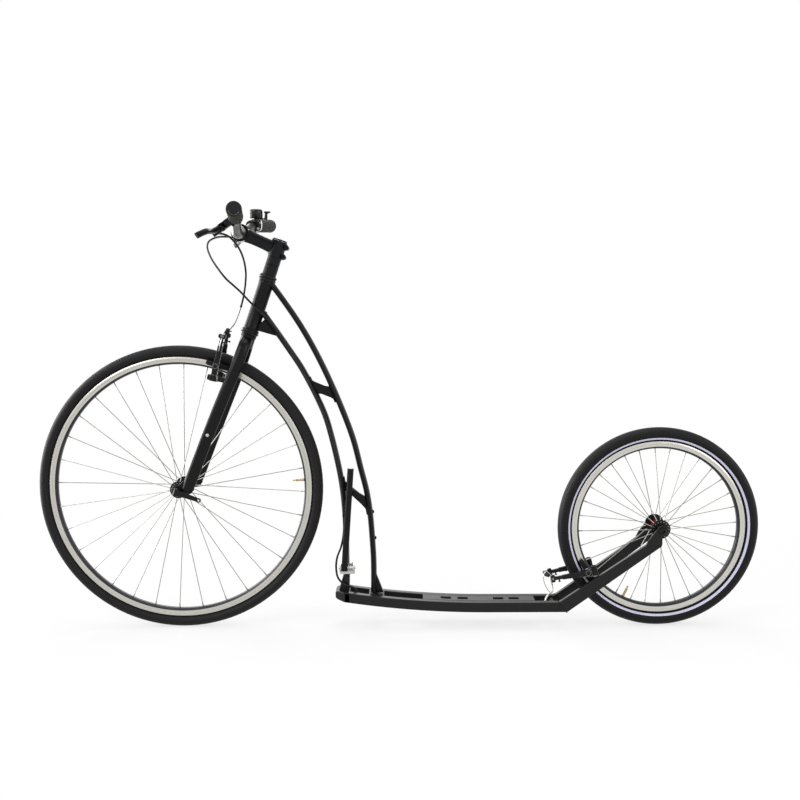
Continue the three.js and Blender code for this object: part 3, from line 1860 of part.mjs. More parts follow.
bike.add(
  part("head_tube", headTube(), blackPaint()),
  part("headset_lower_cup", headsetCup(crownTop + clearance, headTubeBottom, true), blackAnodised()),
  part("headset_upper_cup", headsetCup(headTubeTop + clearance, headsetTop, false), blackAnodised()),
  part("front_frame_tube", frontTube(), blackPaint()),
  part("rear_frame_tube", rearTube(), blackPaint()),
  part("upper_strut", strut(upperStrutShares), blackPaint()),
  part("lower_strut", strut(lowerStrutShares), blackPaint()),
  part("deck_frame", deckFrame(), blackPaint()),
  part("deck_plate", deckPlate(), blackPaint()),
  part("rear_arm_left", rearArm(-1), blackPaint()),
  part("rear_arm_right", rearArm(1), blackPaint()),
  part("kickstand_bracket", standBracket(), brightAlloy()),
  part("kickstand_spring", standSpring(), brightAlloy()),
  part("kickstand_leg", standLeg(), blackPaint()),
  part("rear_cable_housing", cable(rearHousingLine, housingRadius, lowerHousingSteps),
    blackPlastic()),
  part("rear_brake_noodle", cable(rearNoodleLine, noodleRadius, rearNoodleSteps), brightAlloy()),
  ...brakePieces(
    "rear",
    rearPivot,
    rearArmLine,
    rearPivotLine,
    rearPadReach,
    vector(wheelbase, 0, rearWheelRadius),
  ),
);

const rearWheel = new THREE.Group();
rearWheel.position.set(wheelbase, 0, rearWheelRadius);
const rearValveDegrees = 205.1;
const rearSpokeDegrees = 19.5;
rearWheel.add(
  part("rear_tyre", tyre(rearWheelRadius, rearRimRadius, rearTyreWidth), blackRubber()),
  part("rear_inner_tube", innerTube(rearWheelRadius, rearRimRadius, rearTyreWidth,
    rearValveDegrees), blackRubber()),
  part("rear_rim", rim(rearRimRadius, rearValveDegrees), brightAlloy()),
  part("rear_spokes_left", spokes(-1, rearRimRadius, rearFlangeRadius, rearSpokeDegrees),
    brightAlloy()),
  part("rear_spokes_right", spokes(1, rearRimRadius, rearFlangeRadius,
    rearSpokeDegrees + 180 / spokesPerSide), brightAlloy()),
  part("rear_hub", hub(), redAnodised()),
  part("rear_axle", axle(axleNutHeight, axleNutHeight), blackAnodised()),
);
bike.add(rearWheel);

const steering = new THREE.Group();
steering.position.copy(steeringOrigin);
steering.rotation.y = towardsHead;
steering.add(
  part("fork", fork(), blackPaint()),
  part("spacer_lower", spacer(headsetTop + clearance, lowerSpacerTop), blackAnodised()),
  part("spacer_upper", spacer(lowerSpacerTop + clearance, stemBottom), blackAnodised()),
  part("stem", stem(), blackAnodised()),
  part("stem_faceplate", faceplate(), blackAnodised()),
  part("stem_top_cap", topCap(), blackAnodised()),
  part("handlebar", handlebar(), greyAlloy()),
  part("grip_left", grip(-1), blackRubber()),
  part("grip_right", grip(1), blackRubber()),
  part("lever_body_left", leverBody(-1), blackAnodised()),
  part("lever_body_right", leverBody(1), blackAnodised()),
  part("brake_lever_left", leverBlade(-1), blackAnodised()),
  part("brake_lever_right", leverBlade(1), blackAnodised()),
  part("bell_base", bellBase(), blackPlastic()),
  part("bell_dome", bellDome(), blackAnodised()),
  part("bell_button", bellButton(), blackPlastic()),
  part("front_cable_housing", cable(frontHousingLine, housingRadius, upperHousingSteps),
    blackPlastic()),
  part("rear_cable_loop", cable(rearLoopLine, housingRadius, upperHousingSteps), blackPlastic()),
  part("front_brake_noodle", cable(frontNoodleLine, noodleRadius, frontNoodleSteps), brightAlloy()),
  ...brakePieces("front", frontPivot, frontArmLine, frontPivotLine, frontPadReach,
    vector(-forkRake, 0, 0)),
);
pinchBoltHeights.forEach((height, i) => {
  steering.add(part(`stem_bolt_${["lower", "upper"][i]}`, pinchBolt(height), blackAnodised()));
});

const frontWheel = new THREE.Group();
frontWheel.position.set(-forkRake, 0, 0);
frontWheel.rotation.y = -towardsHead;
const frontValveDegrees = 86.7;
const frontSpokeDegrees = 13.6;
frontWheel.add(
  part("front_tyre", tyre(frontWheelRadius, frontRimRadius, frontTyreWidth), blackRubber()),
  part("front_inner_tube", innerTube(frontWheelRadius, frontRimRadius, frontTyreWidth,
    frontValveDegrees), blackRubber()),
  part("front_rim", rim(frontRimRadius, frontValveDegrees), brightAlloy()),
  part("front_spokes_left", spokes(-1, frontRimRadius, frontFlangeRadius, frontSpokeDegrees),
    brightAlloy()),
  part("front_spokes_right", spokes(1, frontRimRadius, frontFlangeRadius,
    frontSpokeDegrees + 180 / spokesPerSide), brightAlloy()),
  part("front_hub", hub(), blackAnodised()),
);
steering.add(frontWheel);

const frontAxle = new THREE.Group();
frontAxle.position.copy(frontWheel.position);
frontAxle.add(
  part("front_axle", axle(camHousingHeight, axleNutHeight), blackAnodised()),
  part("quick_release_lever", quickLever(), blackAnodised()),
);
steering.add(frontAxle);
bike.add(steering);

console.log("least gap between turns of the kickstand spring, mm: " + springGap().toFixed(2));

export default bike;
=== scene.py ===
"""Kick bike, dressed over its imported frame.

Forms are drawn in millimetres and put in metres into the shared frame when they are done: x from
front to rear, y to the right, z up from the floor. Pieces of the steering are drawn about its axis.
"""
from math import asin, atan, cos, pi, radians, sin, sqrt, tan

import bmesh
import bpy
from mathutils import Matrix, Vector


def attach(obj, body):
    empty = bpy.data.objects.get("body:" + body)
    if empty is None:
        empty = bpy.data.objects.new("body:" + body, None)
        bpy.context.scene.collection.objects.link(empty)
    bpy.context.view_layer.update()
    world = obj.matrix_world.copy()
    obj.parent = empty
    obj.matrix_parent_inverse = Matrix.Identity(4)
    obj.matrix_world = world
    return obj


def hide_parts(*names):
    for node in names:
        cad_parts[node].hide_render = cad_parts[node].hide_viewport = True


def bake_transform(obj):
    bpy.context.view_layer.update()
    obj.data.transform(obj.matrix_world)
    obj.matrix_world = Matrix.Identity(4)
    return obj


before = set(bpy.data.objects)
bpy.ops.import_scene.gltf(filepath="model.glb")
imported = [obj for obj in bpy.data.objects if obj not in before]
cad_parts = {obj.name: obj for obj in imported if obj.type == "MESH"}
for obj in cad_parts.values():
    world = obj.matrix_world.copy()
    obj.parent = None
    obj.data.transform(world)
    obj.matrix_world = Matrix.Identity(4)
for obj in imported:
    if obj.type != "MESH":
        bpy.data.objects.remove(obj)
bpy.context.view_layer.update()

# Camera, at the photograph's place and angle
LENS = 48.506
SENSOR = 36.0
CAMERA_PLACE = Vector((0.0185, -2.571, 0.813))
YAW = radians(-0.32)
PITCH = radians(5.79)
ROLL = radians(-0.30)
CLIP_END = 200


def make_camera():
    forward = Vector((sin(YAW) * cos(PITCH), cos(YAW) * cos(PITCH), -sin(PITCH)))
    level = Vector((cos(YAW), -sin(YAW), 0))
    above = level.cross(forward)
    right = level * cos(ROLL) + above * sin(ROLL)
    up = above * cos(ROLL) - level * sin(ROLL)
    data = bpy.data.cameras.new("camera")
    data.lens = LENS
    data.sensor_width = SENSOR
    data.clip_end = CLIP_END
    camera = bpy.data.objects.new("camera", data)
    turn = Matrix((right, up, -forward)).transposed().to_4x4()
    camera.matrix_world = Matrix.Translation(CAMERA_PLACE) @ turn
    bpy.context.scene.collection.objects.link(camera)
    bpy.context.scene.camera = camera


make_camera()

# The bike's own sizes in millimetres, as in the part's source
FRONT_WHEEL_RADIUS = 343
REAR_WHEEL_RADIUS = 242
FRONT_RIM_RADIUS = 316
REAR_RIM_RADIUS = 209
FRONT_TYRE_WIDTH = 32
REAR_TYRE_WIDTH = 40
WHEELBASE = 1152
FORK_RAKE = 39.5
TILT = radians(19.3)
SHIFT = 525.5
CROWN_TOP = 404
HEAD_TUBE_BOTTOM = 416.8
HEAD_TUBE_TOP = 537.1
HEADSET_TOP = 552.4
LOWER_SPACER_TOP = 576.7
STEM_BOTTOM = 597.0
STEM_TOP = 637.3
STEM_MIDDLE = 617.15
BAR_HEIGHT = 625.15
STEM_REACH = 93.2
STEERING_X = FORK_RAKE * cos(TILT)
STEERING_Z = FRONT_WHEEL_RADIUS - FORK_RAKE * sin(TILT)
GAP = 0.3
SIDES = (("left", -1), ("right", 1))

MM = Matrix.Scale(0.001, 4)
BIKE = Matrix.Translation((-SHIFT / 1000, 0, 0)) @ MM
STEERING = BIKE @ Matrix.Translation((STEERING_X, 0, STEERING_Z)) @ Matrix.Rotation(TILT, 4, "Y")
FRONT_WHEEL = BIKE @ Matrix.Translation((0, 0, FRONT_WHEEL_RADIUS))
REAR_WHEEL = BIKE @ Matrix.Translation((WHEELBASE, 0, REAR_WHEEL_RADIUS))

# Directions
X = Vector((1, 0, 0))
Y = Vector((0, 1, 0))
Z = Vector((0, 0, 1))


def vec(x, y, z):
    return Vector((x, y, z))


def on_side(point, side):
    """A point of the right side (1) or its mirror image on the left (-1)."""
    return vec(point.x, point.y * side, point.z)


def sloping(degrees):
    """The direction ahead and down by an angle, and the one square to it, upwards."""
    angle = radians(degrees)
    return vec(-cos(angle), 0, -sin(angle)), vec(-sin(angle), 0, cos(angle))


# Materials
WHITE = (1, 1, 1, 1)
FRONT_AXLE = (-SHIFT / 1000, FRONT_WHEEL_RADIUS / 1000)
REAR_AXLE = ((WHEELBASE - SHIFT) / 1000, REAR_WHEEL_RADIUS / 1000)
BROADER = 12
RELIEF_DEPTH = 0.001
LEAST_ROUGHNESS = 0.02
HATCH_TURN = 0.7
slots = {}


def feed(tree, made, inputs):
    """Sets a node's inputs: a socket is linked, and anything else is a constant."""
    for key, value in inputs.items():
        if isinstance(value, bpy.types.NodeSocket):
            tree.links.new(value, made.inputs[key])
        else:
            made.inputs[key].default_value = value
    return made


def make_node(tree, kind, inputs, **settings):
    made = tree.nodes.new("ShaderNode" + kind)
    for key, value in settings.items():
        setattr(made, key, value)
    return feed(tree, made, inputs)


def maths(tree, operation, *values):
    return make_node(tree, "Math", dict(enumerate(values)), operation=operation).outputs[0]


def noise(tree, place, scale, detail):
    return make_node(tree, "TexNoise", {"Vector": place, "Scale": scale, "Detail": detail}).outputs["Fac"]


def ring_pattern(tree, place, axle, spacing):
    """Fine circles about an axle, as a turned rim or a moulded sidewall shows."""
    apart = make_node(tree, "SeparateXYZ", {0: place}).outputs
    squares = [maths(tree, "POWER", maths(tree, "SUBTRACT", apart[key], centre), 2)
               for key, centre in zip("XZ", axle)]
    distance = maths(tree, "SQRT", maths(tree, "ADD", *squares))
    return make_node(tree, "TexNoise", {"W": distance, "Scale": 1000 / spacing, "Detail": 2},
                     noise_dimensions="1D").outputs["Fac"]


def hatch_pattern(tree, place, spacing):
    """A diamond hatch in relief, as on a grip."""
    waves = []
    for turn in (HATCH_TURN, -HATCH_TURN):
        turned = make_node(tree, "Mapping", {"Vector": place, "Rotation": (0, turn, turn)})
        wave = make_node(tree, "TexWave", {"Vector": turned.outputs["Vector"], "Scale": 314 / spacing},
                         bands_direction="Y")
        waves.append(wave.outputs["Fac"])
    return maths(tree, "MULTIPLY", *waves)


def finish_of(name, colour, roughness, slot="", metallic=0.0, specular=0.5, tint=0.25, grain=900,
              bump=0.04, rough_spread=0.06, rings=None, weave=None):
    """A procedural material: noise varies its colour and roughness, and it has a fine relief.

    Its slot is the one of its own name unless another is given.
    """
    material = bpy.data.materials.new(name)
    material.use_nodes = True
    tree = material.node_tree
    place = make_node(tree, "TexCoord", {}).outputs["Object"]
    broad = noise(tree, place, grain / BROADER, 4)
    darker, lighter = [(*[min(c * (1 + t), 1) for c in colour], 1) for t in (-tint, tint)]
    shade = make_node(tree, "Mix", {0: broad, 6: darker, 7: lighter}, data_type="RGBA").outputs[2]
    rough = make_node(tree, "MapRange", {"Value": broad, "To Max": roughness + rough_spread,
                                         "To Min": max(roughness - rough_spread, LEAST_ROUGHNESS)})
    if rings:
        relief = ring_pattern(tree, place, *rings)
    elif weave:
        relief = hatch_pattern(tree, place, weave)
    else:
        relief = noise(tree, place, grain, 3)
    raised = make_node(tree, "Bump", {"Strength": bump, "Distance": RELIEF_DEPTH, "Height": relief})
    feed(tree, tree.nodes["Principled BSDF"], {
        "Base Color": shade, "Metallic": metallic, "Specular IOR Level": specular,
        "Roughness": rough.outputs["Result"], "Normal": raised.outputs["Normal"],
    })
    slots[material.name] = name if slot == "" else slot
    return material


paint = finish_of("black_paint", (0.005, 0.005, 0.0058), 0.2, specular=0.14, bump=0.012,
                  tint=0.15, rough_spread=0.03)
deck_paint = finish_of("deck_paint", (0.011, 0.0105, 0.0105), 0.34, "black_paint", specular=0.18,
                       grain=800)
sheet_paint = finish_of("sheet_paint", (0.02, 0.02, 0.02), 0.42, "deck_sheet", specular=0.3, bump=0.25)
gloss_alloy = finish_of("gloss_black_alloy", (0.006, 0.0065, 0.0085), 0.17, specular=0.16,
                        grain=700, bump=0.01, tint=0.15, rough_spread=0.03)
bell_black = finish_of("bell_black", (0.004, 0.004, 0.004), 0.09, "gloss_black_alloy", specular=0.3,
                       grain=700, bump=0.008, tint=0.15, rough_spread=0.02)
spring_steel = finish_of("spring_steel", (0.2, 0.2, 0.19), 0.3, "bright_steel", metallic=1.0, bump=0.02,
                         tint=0.12)
black_alloy = finish_of("black_anodised", (0.0075, 0.0075, 0.008), 0.28, specular=0.16, bump=0.02)
grey_alloy = finish_of("grey_alloy", (0.125, 0.13, 0.11), 0.32, metallic=0.85, bump=0.02, tint=0.1)
bright_steel = finish_of("bright_steel", (0.5, 0.5, 0.475), 0.26, metallic=1.0, bump=0.015, tint=0.1)
spoke_steel = finish_of("spoke_steel", (0.3, 0.295, 0.27), 0.3, "bright_steel", metallic=0.9, bump=0.01,
                        tint=0.15)
red_alloy = finish_of("red_anodised", (0.38, 0.03, 0.015), 0.3, metallic=0.7, grain=1200)
brass = finish_of("valve_brass", (0.42, 0.33, 0.17), 0.32, None, metallic=0.9, grain=1500, bump=0.05)
front_track = finish_of("front_rim_track", (0.53, 0.52, 0.475), 0.26, "rim_alloy", metallic=0.9,
                        tint=0.07, grain=400, bump=0.05, rings=(FRONT_AXLE, 0.7), rough_spread=0.04)
rear_track = finish_of("rear_rim_track", (0.58, 0.57, 0.525), 0.26, "rim_alloy", metallic=0.9,
                       tint=0.07, grain=400, bump=0.05, rings=(REAR_AXLE, 0.7), rough_spread=0.04)
rim_lip = finish_of("rim_lip", (0.03, 0.03, 0.032), 0.35, "rim_alloy", metallic=0.5, specular=0.3,
                    bump=0.05)
front_rubber = finish_of("front_tyre_rubber", (0.0085, 0.0085, 0.0085), 0.55, "tyre_rubber",
                         specular=0.16, bump=0.35, rings=(FRONT_AXLE, 1.4))
rear_rubber = finish_of("rear_tyre_rubber", (0.0075, 0.007, 0.0075), 0.55, "tyre_rubber",
                        specular=0.14, bump=0.35, rings=(REAR_AXLE, 1.4))
reflective = finish_of("reflective_stripe", (0.6, 0.6, 0.76), 0.5, "tyre_rubber", specular=0.4,
                       grain=1800, bump=0.2, tint=0.06)
tube_rubber = finish_of("inner_tube_rubber", (0.012, 0.012, 0.012), 0.6,
                        specular=0.2, grain=700, bump=0.1)
grip_rubber = finish_of("grip_rubber", (0.019, 0.018, 0.0135), 0.6, specular=0.2,
                        grain=400, bump=0.35, weave=2.4)
grip_cap = finish_of("grip_cap", (0.009, 0.009, 0.011), 0.45, "grip_rubber", specular=0.2, bump=0.1)
pad_rubber = finish_of("pad_rubber", (0.009, 0.009, 0.009), 0.65, specular=0.15,
                       grain=1100, bump=0.25)
cable_plastic = finish_of("cable_plastic", (0.008, 0.008, 0.008), 0.32, specular=0.2,
                          grain=1200, bump=0.06)
black_plastic = finish_of("black_plastic", (0.008, 0.008, 0.0085), 0.3, specular=0.2,
                          grain=1300, bump=0.1)


# Forms: a mesh that grows shape by shape and is then put on its body as one piece
def smooth_path(points, count):
    """Evenly numbered points on the centripetal curve through the given ones."""
    points = [Vector(p) for p in points]
    ends = [points[0] * 2 - points[1], *points, points[-1] * 2 - points[-2]]
    spans = len(points) - 1
    dense = []
    steps = max(4, count * 4 // spans)
    for i in range(spans):
        p0, p1, p2, p3 = ends[i:i + 4]
        d0, d1, d2 = [max((b - a).length, 1e-6) ** 0.5 for a, b in ((p0, p1), (p1, p2), (p2, p3))]
        t1 = ((p1 - p0) / d0 - (p2 - p0) / (d0 + d1) + (p2 - p1) / d1) * d1
        t2 = ((p2 - p1) / d1 - (p3 - p1) / (d1 + d2) + (p3 - p2) / d2) * d1
        for k in range(steps):
            t = k / steps
            a = 2 * t ** 3 - 3 * t ** 2 + 1
            b = t ** 3 - 2 * t ** 2 + t
            c = 3 * t ** 2 - 2 * t ** 3
            dense.append(p1 * a + t1 * b + p2 * c + t2 * (t ** 3 - t ** 2))
    dense.append(points[-1])
    lengths = [0.0]
    for a, b in zip(dense, dense[1:]):
        lengths.append(lengths[-1] + (b - a).length)
    out = []
    at = 0
    for k in range(count + 1):
        want = lengths[-1] * k / count
        while at < len(dense) - 2 and lengths[at + 1] < want:
            at += 1
        span = max(lengths[at + 1] - lengths[at], 1e-9)
        out.append(dense[at].lerp(dense[at + 1], min(max((want - lengths[at]) / span, 0), 1)))
    return out


def oval(half_a, half_b, count):
    turn = 2 * pi / count
    return [(half_a * cos(turn * i), half_b * sin(turn * i)) for i in range(count)]


def rounded(half_a, half_b, corner, steps=4):
    """A rectangle with round corners, as (a, b) points."""
    points = []
    for cx, cy, start in ((1, 1, 0), (-1, 1, 1), (-1, -1, 2), (1, -1, 3)):
        for i in range(steps + 1):
            angle = pi / 2 * (start + i / steps)
            points.append((
                cx * (half_a - corner) + corner * cos(angle),
                cy * (half_b - corner) + corner * sin(angle),
            ))
    return points


def arc(centre_a, centre_b, radius, start, end, steps):
    """Points of an arc, with its angles in degrees."""
    points = []
    for i in range(steps + 1):
        angle = radians(start + (end - start) * i / steps)
        points.append((centre_a + radius * cos(angle), centre_b + radius * sin(angle)))
    return points


class Form:
    """A mesh in the making. Shapes are added in millimetres through the current matrix."""

    def __init__(self, matrix=None):
        self.bm = bmesh.new()
        self.matrix = matrix or Matrix.Identity(4)

    def vert(self, point):
        return self.bm.verts.new(self.matrix @ Vector(point))

    def skin(self, rings, closed=False, caps=True, slots=None):
        """Faces between rings of points. Each ring is a closed loop."""
        made = [[self.vert(p) for p in ring] for ring in rings]
        pairs = list(zip(made, made[1:]))
        if closed:
            pairs.append((made[-1], made[0]))
        for number, (low, high) in enumerate(pairs):
            for i in range(len(low)):
                j = (i + 1) % len(low)
                face = self.bm.faces.new((low[i], low[j], high[j], high[i]))
                if slots:
                    face.material_index = slots[number]
        if caps and not closed:
            self.bm.faces.new(reversed(made[0]))
            self.bm.faces.new(made[-1])
        return made

    def lathe(self, profile, base=(0, 0, 0), axis=(0, 0, 1), sides=32, closed=False, slots=None):
        """A profile of (radius, distance) points turned about an axis from a base point."""
        axis = Vector(axis).normalized()
        across = axis.orthogonal().normalized()
        if abs(axis.y) > 0.99:
            across = Vector((0, 0, 1))
        other = axis.cross(across)
        rings = []
        for radius, along in profile:
            ring = []
            for i in range(sides):
                angle = 2 * pi * i / sides
                out = across * cos(angle) + other * sin(angle)
                ring.append(Vector(base) + axis * along + out * max(radius, 0.01))
            rings.append(ring)
        self.skin(rings, closed=closed, slots=slots)
        return self

    def collar(self, inner, outer, low, high, edge=0.0, base=(0, 0, 0), axis=(0, 0, 1), sides=64):
        """A ring about an axis between two radii and two distances, with its outer edges broken."""
        corners = [(outer - edge, low), (outer, low + edge), (outer, high - edge), (outer - edge, high)]
        if not edge:
            corners = [(outer, low), (outer, high)]
        profile = [(inner, low), *corners, (inner, high)]
        return self.lathe(profile, base, axis, sides, closed=True)

    def rod(self, start, end, radius, end_radius=None, sides=20, edge=0.0):
        """A round rod between two points, with its edges broken."""
        start, end = Vector(start), Vector(end)
        length = (end - start).length
        last = radius if end_radius is None else end_radius
        edge = min(edge, length / 3, radius / 2)
        profile = [(radius, 0), (last, length)]
        if edge:
            profile = [(radius - edge, 0), (radius, edge), (last, length - edge), (last - edge, length)]
        return self.lathe(profile, start, end - start, sides)

    def hexagon(self, start, end, radius):
        """A bolt head or nut with six flats."""
        start, end = Vector(start), Vector(end)
        length = (end - start).length
        edge = length * 0.14
        profile = [(radius * 0.93, 0), (radius, edge), (radius, length - edge), (radius * 0.9, length)]
        return self.lathe(profile, start, end - start, 6)

    def cap_screw(self, start, end, radius):
        """A round bolt head with a six-sided socket in its outer end."""
        start, end = Vector(start), Vector(end)
        along = (end - start).normalized()
        length = (end - start).length
        socket = radius * 0.5
        profile = [(radius, 0), (radius, length * 0.8), (radius * 0.88, length), (socket * 1.1, length),
                   (socket, length * 0.93), (socket, length * 0.45)]
        return self.lathe(profile, start, along, 24)

    def sweep(self, path, section, side=None, caps=True, scales=None):
        """A section swept along points. A fixed side direction keeps it from turning about its path."""
        path = [Vector(p) for p in path]
        across = None
        rings = []
        for i, point in enumerate(path):
            along = (path[min(i + 1, len(path) - 1)] - path[max(i - 1, 0)]).normalized()
            if side is not None:
                across = Vector(side)
            elif across is None:
                across = along.orthogonal()
            across = (across - along * across.dot(along)).normalized()
            other = along.cross(across)
            scale_a, scale_b = scales[i] if scales else (1, 1)
            rings.append([point + across * a * scale_a + other * b * scale_b for a, b in section])
        self.skin(rings, caps=caps)
        return self

    def tube(self, path, radius, sides=12):
        return self.sweep(path, oval(radius, radius, sides))

    def prism(self, outline, low, high, plane="xz", holes=()):
        """An outline given thickness square to its plane, with any holes right through it."""
        def point(a, b, c):
            return {"xz": (a, c, b), "xy": (a, b, c), "yz": (c, a, b)}[plane]

        if not holes:
            self.skin([[point(a, b, low) for a, b in outline], [point(a, b, high) for a, b in outline]])
            return self
        edges = []
        for loop in (outline, *holes):
            ring = [self.vert(point(a, b, low)) for a, b in loop]
            edges += [self.bm.edges.new((ring[i - 1], ring[i])) for i in range(len(ring))]
        filled = bmesh.ops.triangle_fill(self.bm, use_beauty=True, use_dissolve=False, edges=edges)
        faces = [f for f in filled["geom"] if isinstance(f, bmesh.types.BMFace)]
        grown = bmesh.ops.extrude_face_region(self.bm, geom=faces, use_keep_orig=True)
        shift = Vector(point(0, 0, high)) - Vector(point(0, 0, low))
        turn = self.matrix.to_3x3()
        for item in grown["geom"]:
            if isinstance(item, bmesh.types.BMVert):
                item.co += turn @ shift
        return self

    def slab(self, outline, low, high, holes=()):
        return self.prism(outline, low, high, "xy", holes)

    def block(self, low, high):
        """A box between two corners."""
        outline = [(low[0], low[2]), (high[0], low[2]), (high[0], high[2]), (low[0], high[2])]
        return self.prism(outline, low[1], high[1])

    def ripple(self, loop, radius):
        """A weld bead: a closed cord round a joint, swelling and thinning along its way."""
        path = []
        for a, b in zip(loop, [*loop[1:], loop[0]]):
            steps = max(2, int((Vector(b) - Vector(a)).length / (radius * 0.9)))
            path += [Vector(a).lerp(Vector(b), i / steps) for i in range(steps)]
        centre = sum(path, Vector()) / len(path)
        normal = sum(((p - centre).cross(q - centre) for p, q in zip(path, path[1:])), Vector())
        normal.normalize()
        rings = []
        for i, point in enumerate(path):
            along = (path[(i + 1) % len(path)] - path[i - 1]).normalized()
            out = along.cross(normal).normalized()
            size = radius * (1.12 if i % 2 else 0.92)
            rings.append([point + out * a * size + normal * b * size for a, b in oval(1, 1, 8)])
        self.skin(rings, closed=True)
        return self

    def done(self, name, body, finish, node=None, place=None, slot=None, bevel=0.0, crease=32,
             segments=2, to_body=None, span=None):
        """Makes the piece: its mesh in metres in the shared frame, its finish and body, and hides the
        imported part of its node.

        Its node is the one of its own name unless another is given. The slot argument is not used.
        """
        bm = self.bm
        bmesh.ops.recalc_face_normals(bm, faces=bm.faces)
        bm.transform(place or (STEERING if body == "steering" else BIKE))
        if not bevel:
            for edge in bm.edges:
                edge.smooth = edge.calc_face_angle(0) < radians(crease)
        for face in bm.faces:
            face.smooth = True
        mesh = bpy.data.meshes.new(name)
        bm.to_mesh(mesh)
        bm.free()
        finishes = finish if isinstance(finish, list) else [finish]
        for material in finishes:
            mesh.materials.append(material)
        piece = bpy.data.objects.new(name, mesh)
        bpy.context.scene.collection.objects.link(piece)
        if bevel:
            rounding = piece.modifiers.new("rounding", "BEVEL")
            rounding.width = bevel / 1000
            rounding.segments = segments
            rounding.limit_method = "ANGLE"
            rounding.angle_limit = radians(crease)
            rounding.use_clamp_overlap = True
            rounding.harden_normals = True
        if to_body:
            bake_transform(piece)
        else:
            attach(piece, body)
        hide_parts(node or name)
        slot = slot or slots[finishes[0].name]


def turned_by(degrees):
    """A turn about a wheel's axle, from up towards the rear."""
    return Matrix.Rotation(radians(degrees), 4, "Y")


# Wheels
RIM_HALF = 11.0
SPOKES = 16
FLANGE_Y = 35.5
ROUND = 144
TYRE_WALL = 2.6
GROOVE_DEPTH = 0.9
INNER_OPENING = 0.62
VALVE_REACH = 46


def tyre_oval(radius, rim):
    """The middle radius and half the height of a tyre's section."""
    return (radius + rim + GAP) / 2, (radius - rim - GAP) / 2


def tyre_profile(radius, rim, width, grooves):
    """The tyre's closed section: outside from bead to bead, then the inside back."""
    middle, half_height = tyre_oval(radius, rim)
    bead = RIM_HALF - 2.1
    outside = []
    count = 60
    opening = asin(bead / (width / 2))
    for i in range(count + 1):
        angle = opening + (2 * pi - 2 * opening) * i / count
        r = middle - half_height * cos(angle)
        y = width / 2 * sin(angle)
        near = min(abs(abs(y) - g) for g in grooves)
        if r > middle and near < width / count:
            r -= GROOVE_DEPTH
        outside.append((r, y))
    inner = []
    for i in range(17):
        angle = 2 * pi - INNER_OPENING - (2 * pi - 2 * INNER_OPENING) * i / 16
        inner.append((middle - (half_height - TYRE_WALL) * cos(angle),
                      (width / 2 - TYRE_WALL) * sin(angle)))
    foot = rim - 5
    return [(foot, bead), *outside, (foot, -bead), (foot, -bead + TYRE_WALL), *inner,
            (foot, bead - TYRE_WALL)]


def tyre(name, body, place, radius, rim, width, rubber, grooves):
    form = Form().lathe(tyre_profile(radius, rim, width, grooves), axis=Y, sides=ROUND, closed=True)
    form.done(name, body, rubber, place=place, crease=50)


def side_ring(form, radius, rim, width, inner, outer, side, rise):
    """A band moulded on a tyre's sidewall between two radii."""
    middle, half_height = tyre_oval(radius, rim)

    def wall(r):
        return width / 2 * sqrt(max(1 - ((r - middle) / half_height) ** 2, 0))

    steps = [inner + (outer - inner) * i / 4 for i in range(5)]
    outside = [(r, side * (wall(r) + rise)) for r in steps]
    inside = [(r, y - side * rise * 2) for r, y in reversed(outside)]
    form.lathe(outside + inside, axis=Y, sides=ROUND, closed=True)


def rim(name, body, place, radius, track):
    """The rim: flange, machined track with its wear line, and the dark lip that holds the nipples."""
    h = RIM_HALF
    half = [(radius - 0.5, h - 1.8), (radius, h - 1.2), (radius, h - 0.5), (radius - 0.6, h),
            (radius - 6.2, h), (radius - 6.5, h - 0.35), (radius - 6.8, h), (radius - 12.6, h),
            (radius - 13.1, h - 0.5), (radius - 14.6, h - 1.6), (radius - 16.4, h - 3.6),
            (radius - 17.6, h - 5.6), (radius - 18, h - 8)]
    marks = [0] * 7 + [1] * 5
    other = [(r, -y) for r, y in reversed(half)]
    well = [(radius - 7.5, -h + 1.8), (radius - 8.6, -h + 5), (radius - 8.6, h - 5),
            (radius - 7.5, h - 1.8)]
    slots = marks + [1] + marks[::-1] + [1] * 5
    form = Form().lathe(half + other + well, axis=Y, sides=ROUND, closed=True, slots=slots)
    form.done(name, body, [track, rim_lip], place=place, crease=40)


def spokes(wheel, body, place, side_name, side, radius, flange, start):
    """One side's spokes with their nipples, and the flange that they hook into."""
    form = Form()
    flange_y = side * FLANGE_Y
    for i in range(SPOKES):
        turn = turned_by(start + 360 * i / SPOKES)
        form.matrix = turn
        root = vec(0, flange_y, flange - 3.5)
        tip = vec(0, side * 2.3, radius - 18.2)
        form.rod(root, tip, 1.0, sides=8)
        towards = (root - tip).normalized()
        form.rod(tip, tip + towards * 9, 1.9, 1.45, sides=8)
        form.rod(tip + towards * 9, tip + towards * 11, 1.45, 1.05, sides=8)
        head = root + Y * side * 1.2
        form.rod(head - Z * 1.2, head + Y * side * 1.6 - Z * 1.2, 1.7, 1.3, sides=8)
    form.done(wheel + "_spokes_" + side_name, body, spoke_steel, place=place)
    edge = flange_y - side * 1.7
    outer = flange_y + side * 1.7
    dark = Form().lathe([(9.9, edge), (12.5, edge), (flange - 6.4, flange_y - side * 1.2),
                         (flange - 0.8, flange_y - side * 1.2), (flange, flange_y - side * 0.5),
                         (flange, flange_y + side * 0.5), (flange - 0.8, flange_y + side * 1.2),
                         (flange - 6.4, flange_y + side * 1.2), (12.5, outer), (9.9, outer)], axis=Y,
                        sides=48, closed=True)
    dark.done(wheel + "_flange_" + side_name, body, black_alloy, wheel + "_spokes_" + side_name,
              place, crease=40)


